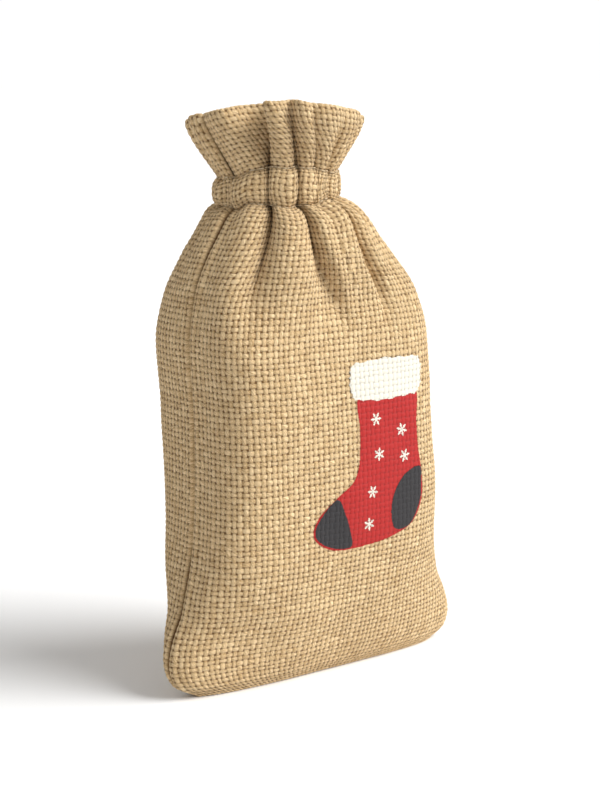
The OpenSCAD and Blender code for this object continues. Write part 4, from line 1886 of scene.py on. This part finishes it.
@dataclass(frozen=True)
class Studio:
    """Plain pale floor, soft light and the camera."""

    azimuth: float = -38.0
    elevation: float = 10.3
    distance: float = 0.600
    lens: float = 81.0
    target: tuple[float, float, float] = (-0.0057, 0.0, 0.0935)

    def build(self) -> None:
        """Build the floor, the lights and the camera."""
        self.add_floor()
        self.add_camera()
        self.add_world()
        self.add_sun("key", (0.50, -0.62, 0.62), 46.0, 4.0)
        self.add_sun("rim", (-0.45, 0.65, 0.62), 60.0, 0.3)
        bpy.context.scene.view_settings.view_transform = "Standard"

    def camera_only(self, tree: bpy.types.NodeTree, other: float, seen: float) -> bpy.types.NodeSocket:
        """Return a value that differs between what the camera sees and what lights the sack.

        Args:
            tree: The node tree to add to.
            other: The value for every other ray.
            seen: The value for the camera's own rays.

        Returns:
            The socket that holds the value.
        """
        path = tree.nodes.new("ShaderNodeLightPath")
        pick = tree.nodes.new("ShaderNodeMapRange")
        pick.inputs["To Min"].default_value = other
        pick.inputs["To Max"].default_value = seen
        tree.links.new(path.outputs["Is Camera Ray"], pick.inputs["Value"])
        return pick.outputs["Result"]

    def add_world(self) -> None:
        """Add even light from all round, with a white backdrop for the camera."""
        world = bpy.data.worlds.new("studio")
        bpy.context.scene.world = world
        world.use_nodes = True
        background = world.node_tree.nodes["Background"]
        background.inputs["Color"].default_value = (1.0, 0.995, 0.985, 1)
        strength = self.camera_only(world.node_tree, 0.37, 1.02)
        world.node_tree.links.new(strength, background.inputs["Strength"])

    def add_floor(self) -> None:
        """Build a flat floor."""
        mesh = bpy.data.meshes.new("studio_floor")
        bm = bmesh.new()
        bmesh.ops.create_grid(bm, x_segments=1, y_segments=1, size=20.0)
        bm.to_mesh(mesh)
        bm.free()
        floor = bpy.data.objects.new("studio_floor", mesh)
        bpy.context.collection.objects.link(floor)
        paint = bpy.data.materials.new("studio_floor")
        paint.use_nodes = True
        shader = paint.node_tree.nodes["Principled BSDF"]
        grey = self.camera_only(paint.node_tree, 0.80, 1.0)
        paint.node_tree.links.new(grey, shader.inputs["Base Color"])
        shader.inputs["Roughness"].default_value = 0.9
        shader.inputs["Specular IOR Level"].default_value = 0.1
        mesh.materials.append(paint)

    def add_camera(self) -> None:
        """Add the camera."""
        turn, tilt = math.radians(self.azimuth), math.radians(self.elevation)
        back = Vector((math.sin(turn) * math.cos(tilt), -math.cos(turn) * math.cos(tilt), math.sin(tilt)))
        lens = bpy.data.cameras.new("camera")
        lens.lens, lens.sensor_width = self.lens, 36.0
        camera = bpy.data.objects.new("camera", lens)
        camera.location = Vector(self.target) + back * self.distance
        camera.rotation_mode = "QUATERNION"
        camera.rotation_quaternion = (-back).to_track_quat("-Z", "Y")
        lens.clip_start, lens.clip_end = 0.01, 50.0
        bpy.context.collection.objects.link(camera)
        bpy.context.scene.camera = camera

    def add_sun(self, name: str, towards: tuple[float, float, float], soft: float, power: float) -> None:
        """Add one soft, even light.

        Args:
            name: The light's name.
            towards: Direction from the sack to the light.
            soft: How wide the light looks from the sack, in degrees.
            power: Its strength.
        """
        lamp = bpy.data.lights.new(name, "SUN")
        lamp.angle, lamp.energy = math.radians(soft), power
        light = bpy.data.objects.new(name, lamp)
        light.rotation_mode = "QUATERNION"
        light.rotation_quaternion = Vector(towards).to_track_quat("Z", "Y")
        bpy.context.collection.objects.link(light)


def main() -> None:
    """Build the sack and its studio."""
    logging.basicConfig(level=logging.INFO, format="%(name)s: %(message)s")
    Studio().build()
    finishes = Finishes()
    cloth = SackCloth(finishes, Weave())
    cloth.build()
    Seams(cloth, finishes).build()
    ChannelStitching(cloth, finishes).build()
    Drawstring(finishes).build()
    StockingPrint(cloth, finishes).build()


if __name__ == "__main__":
    main()
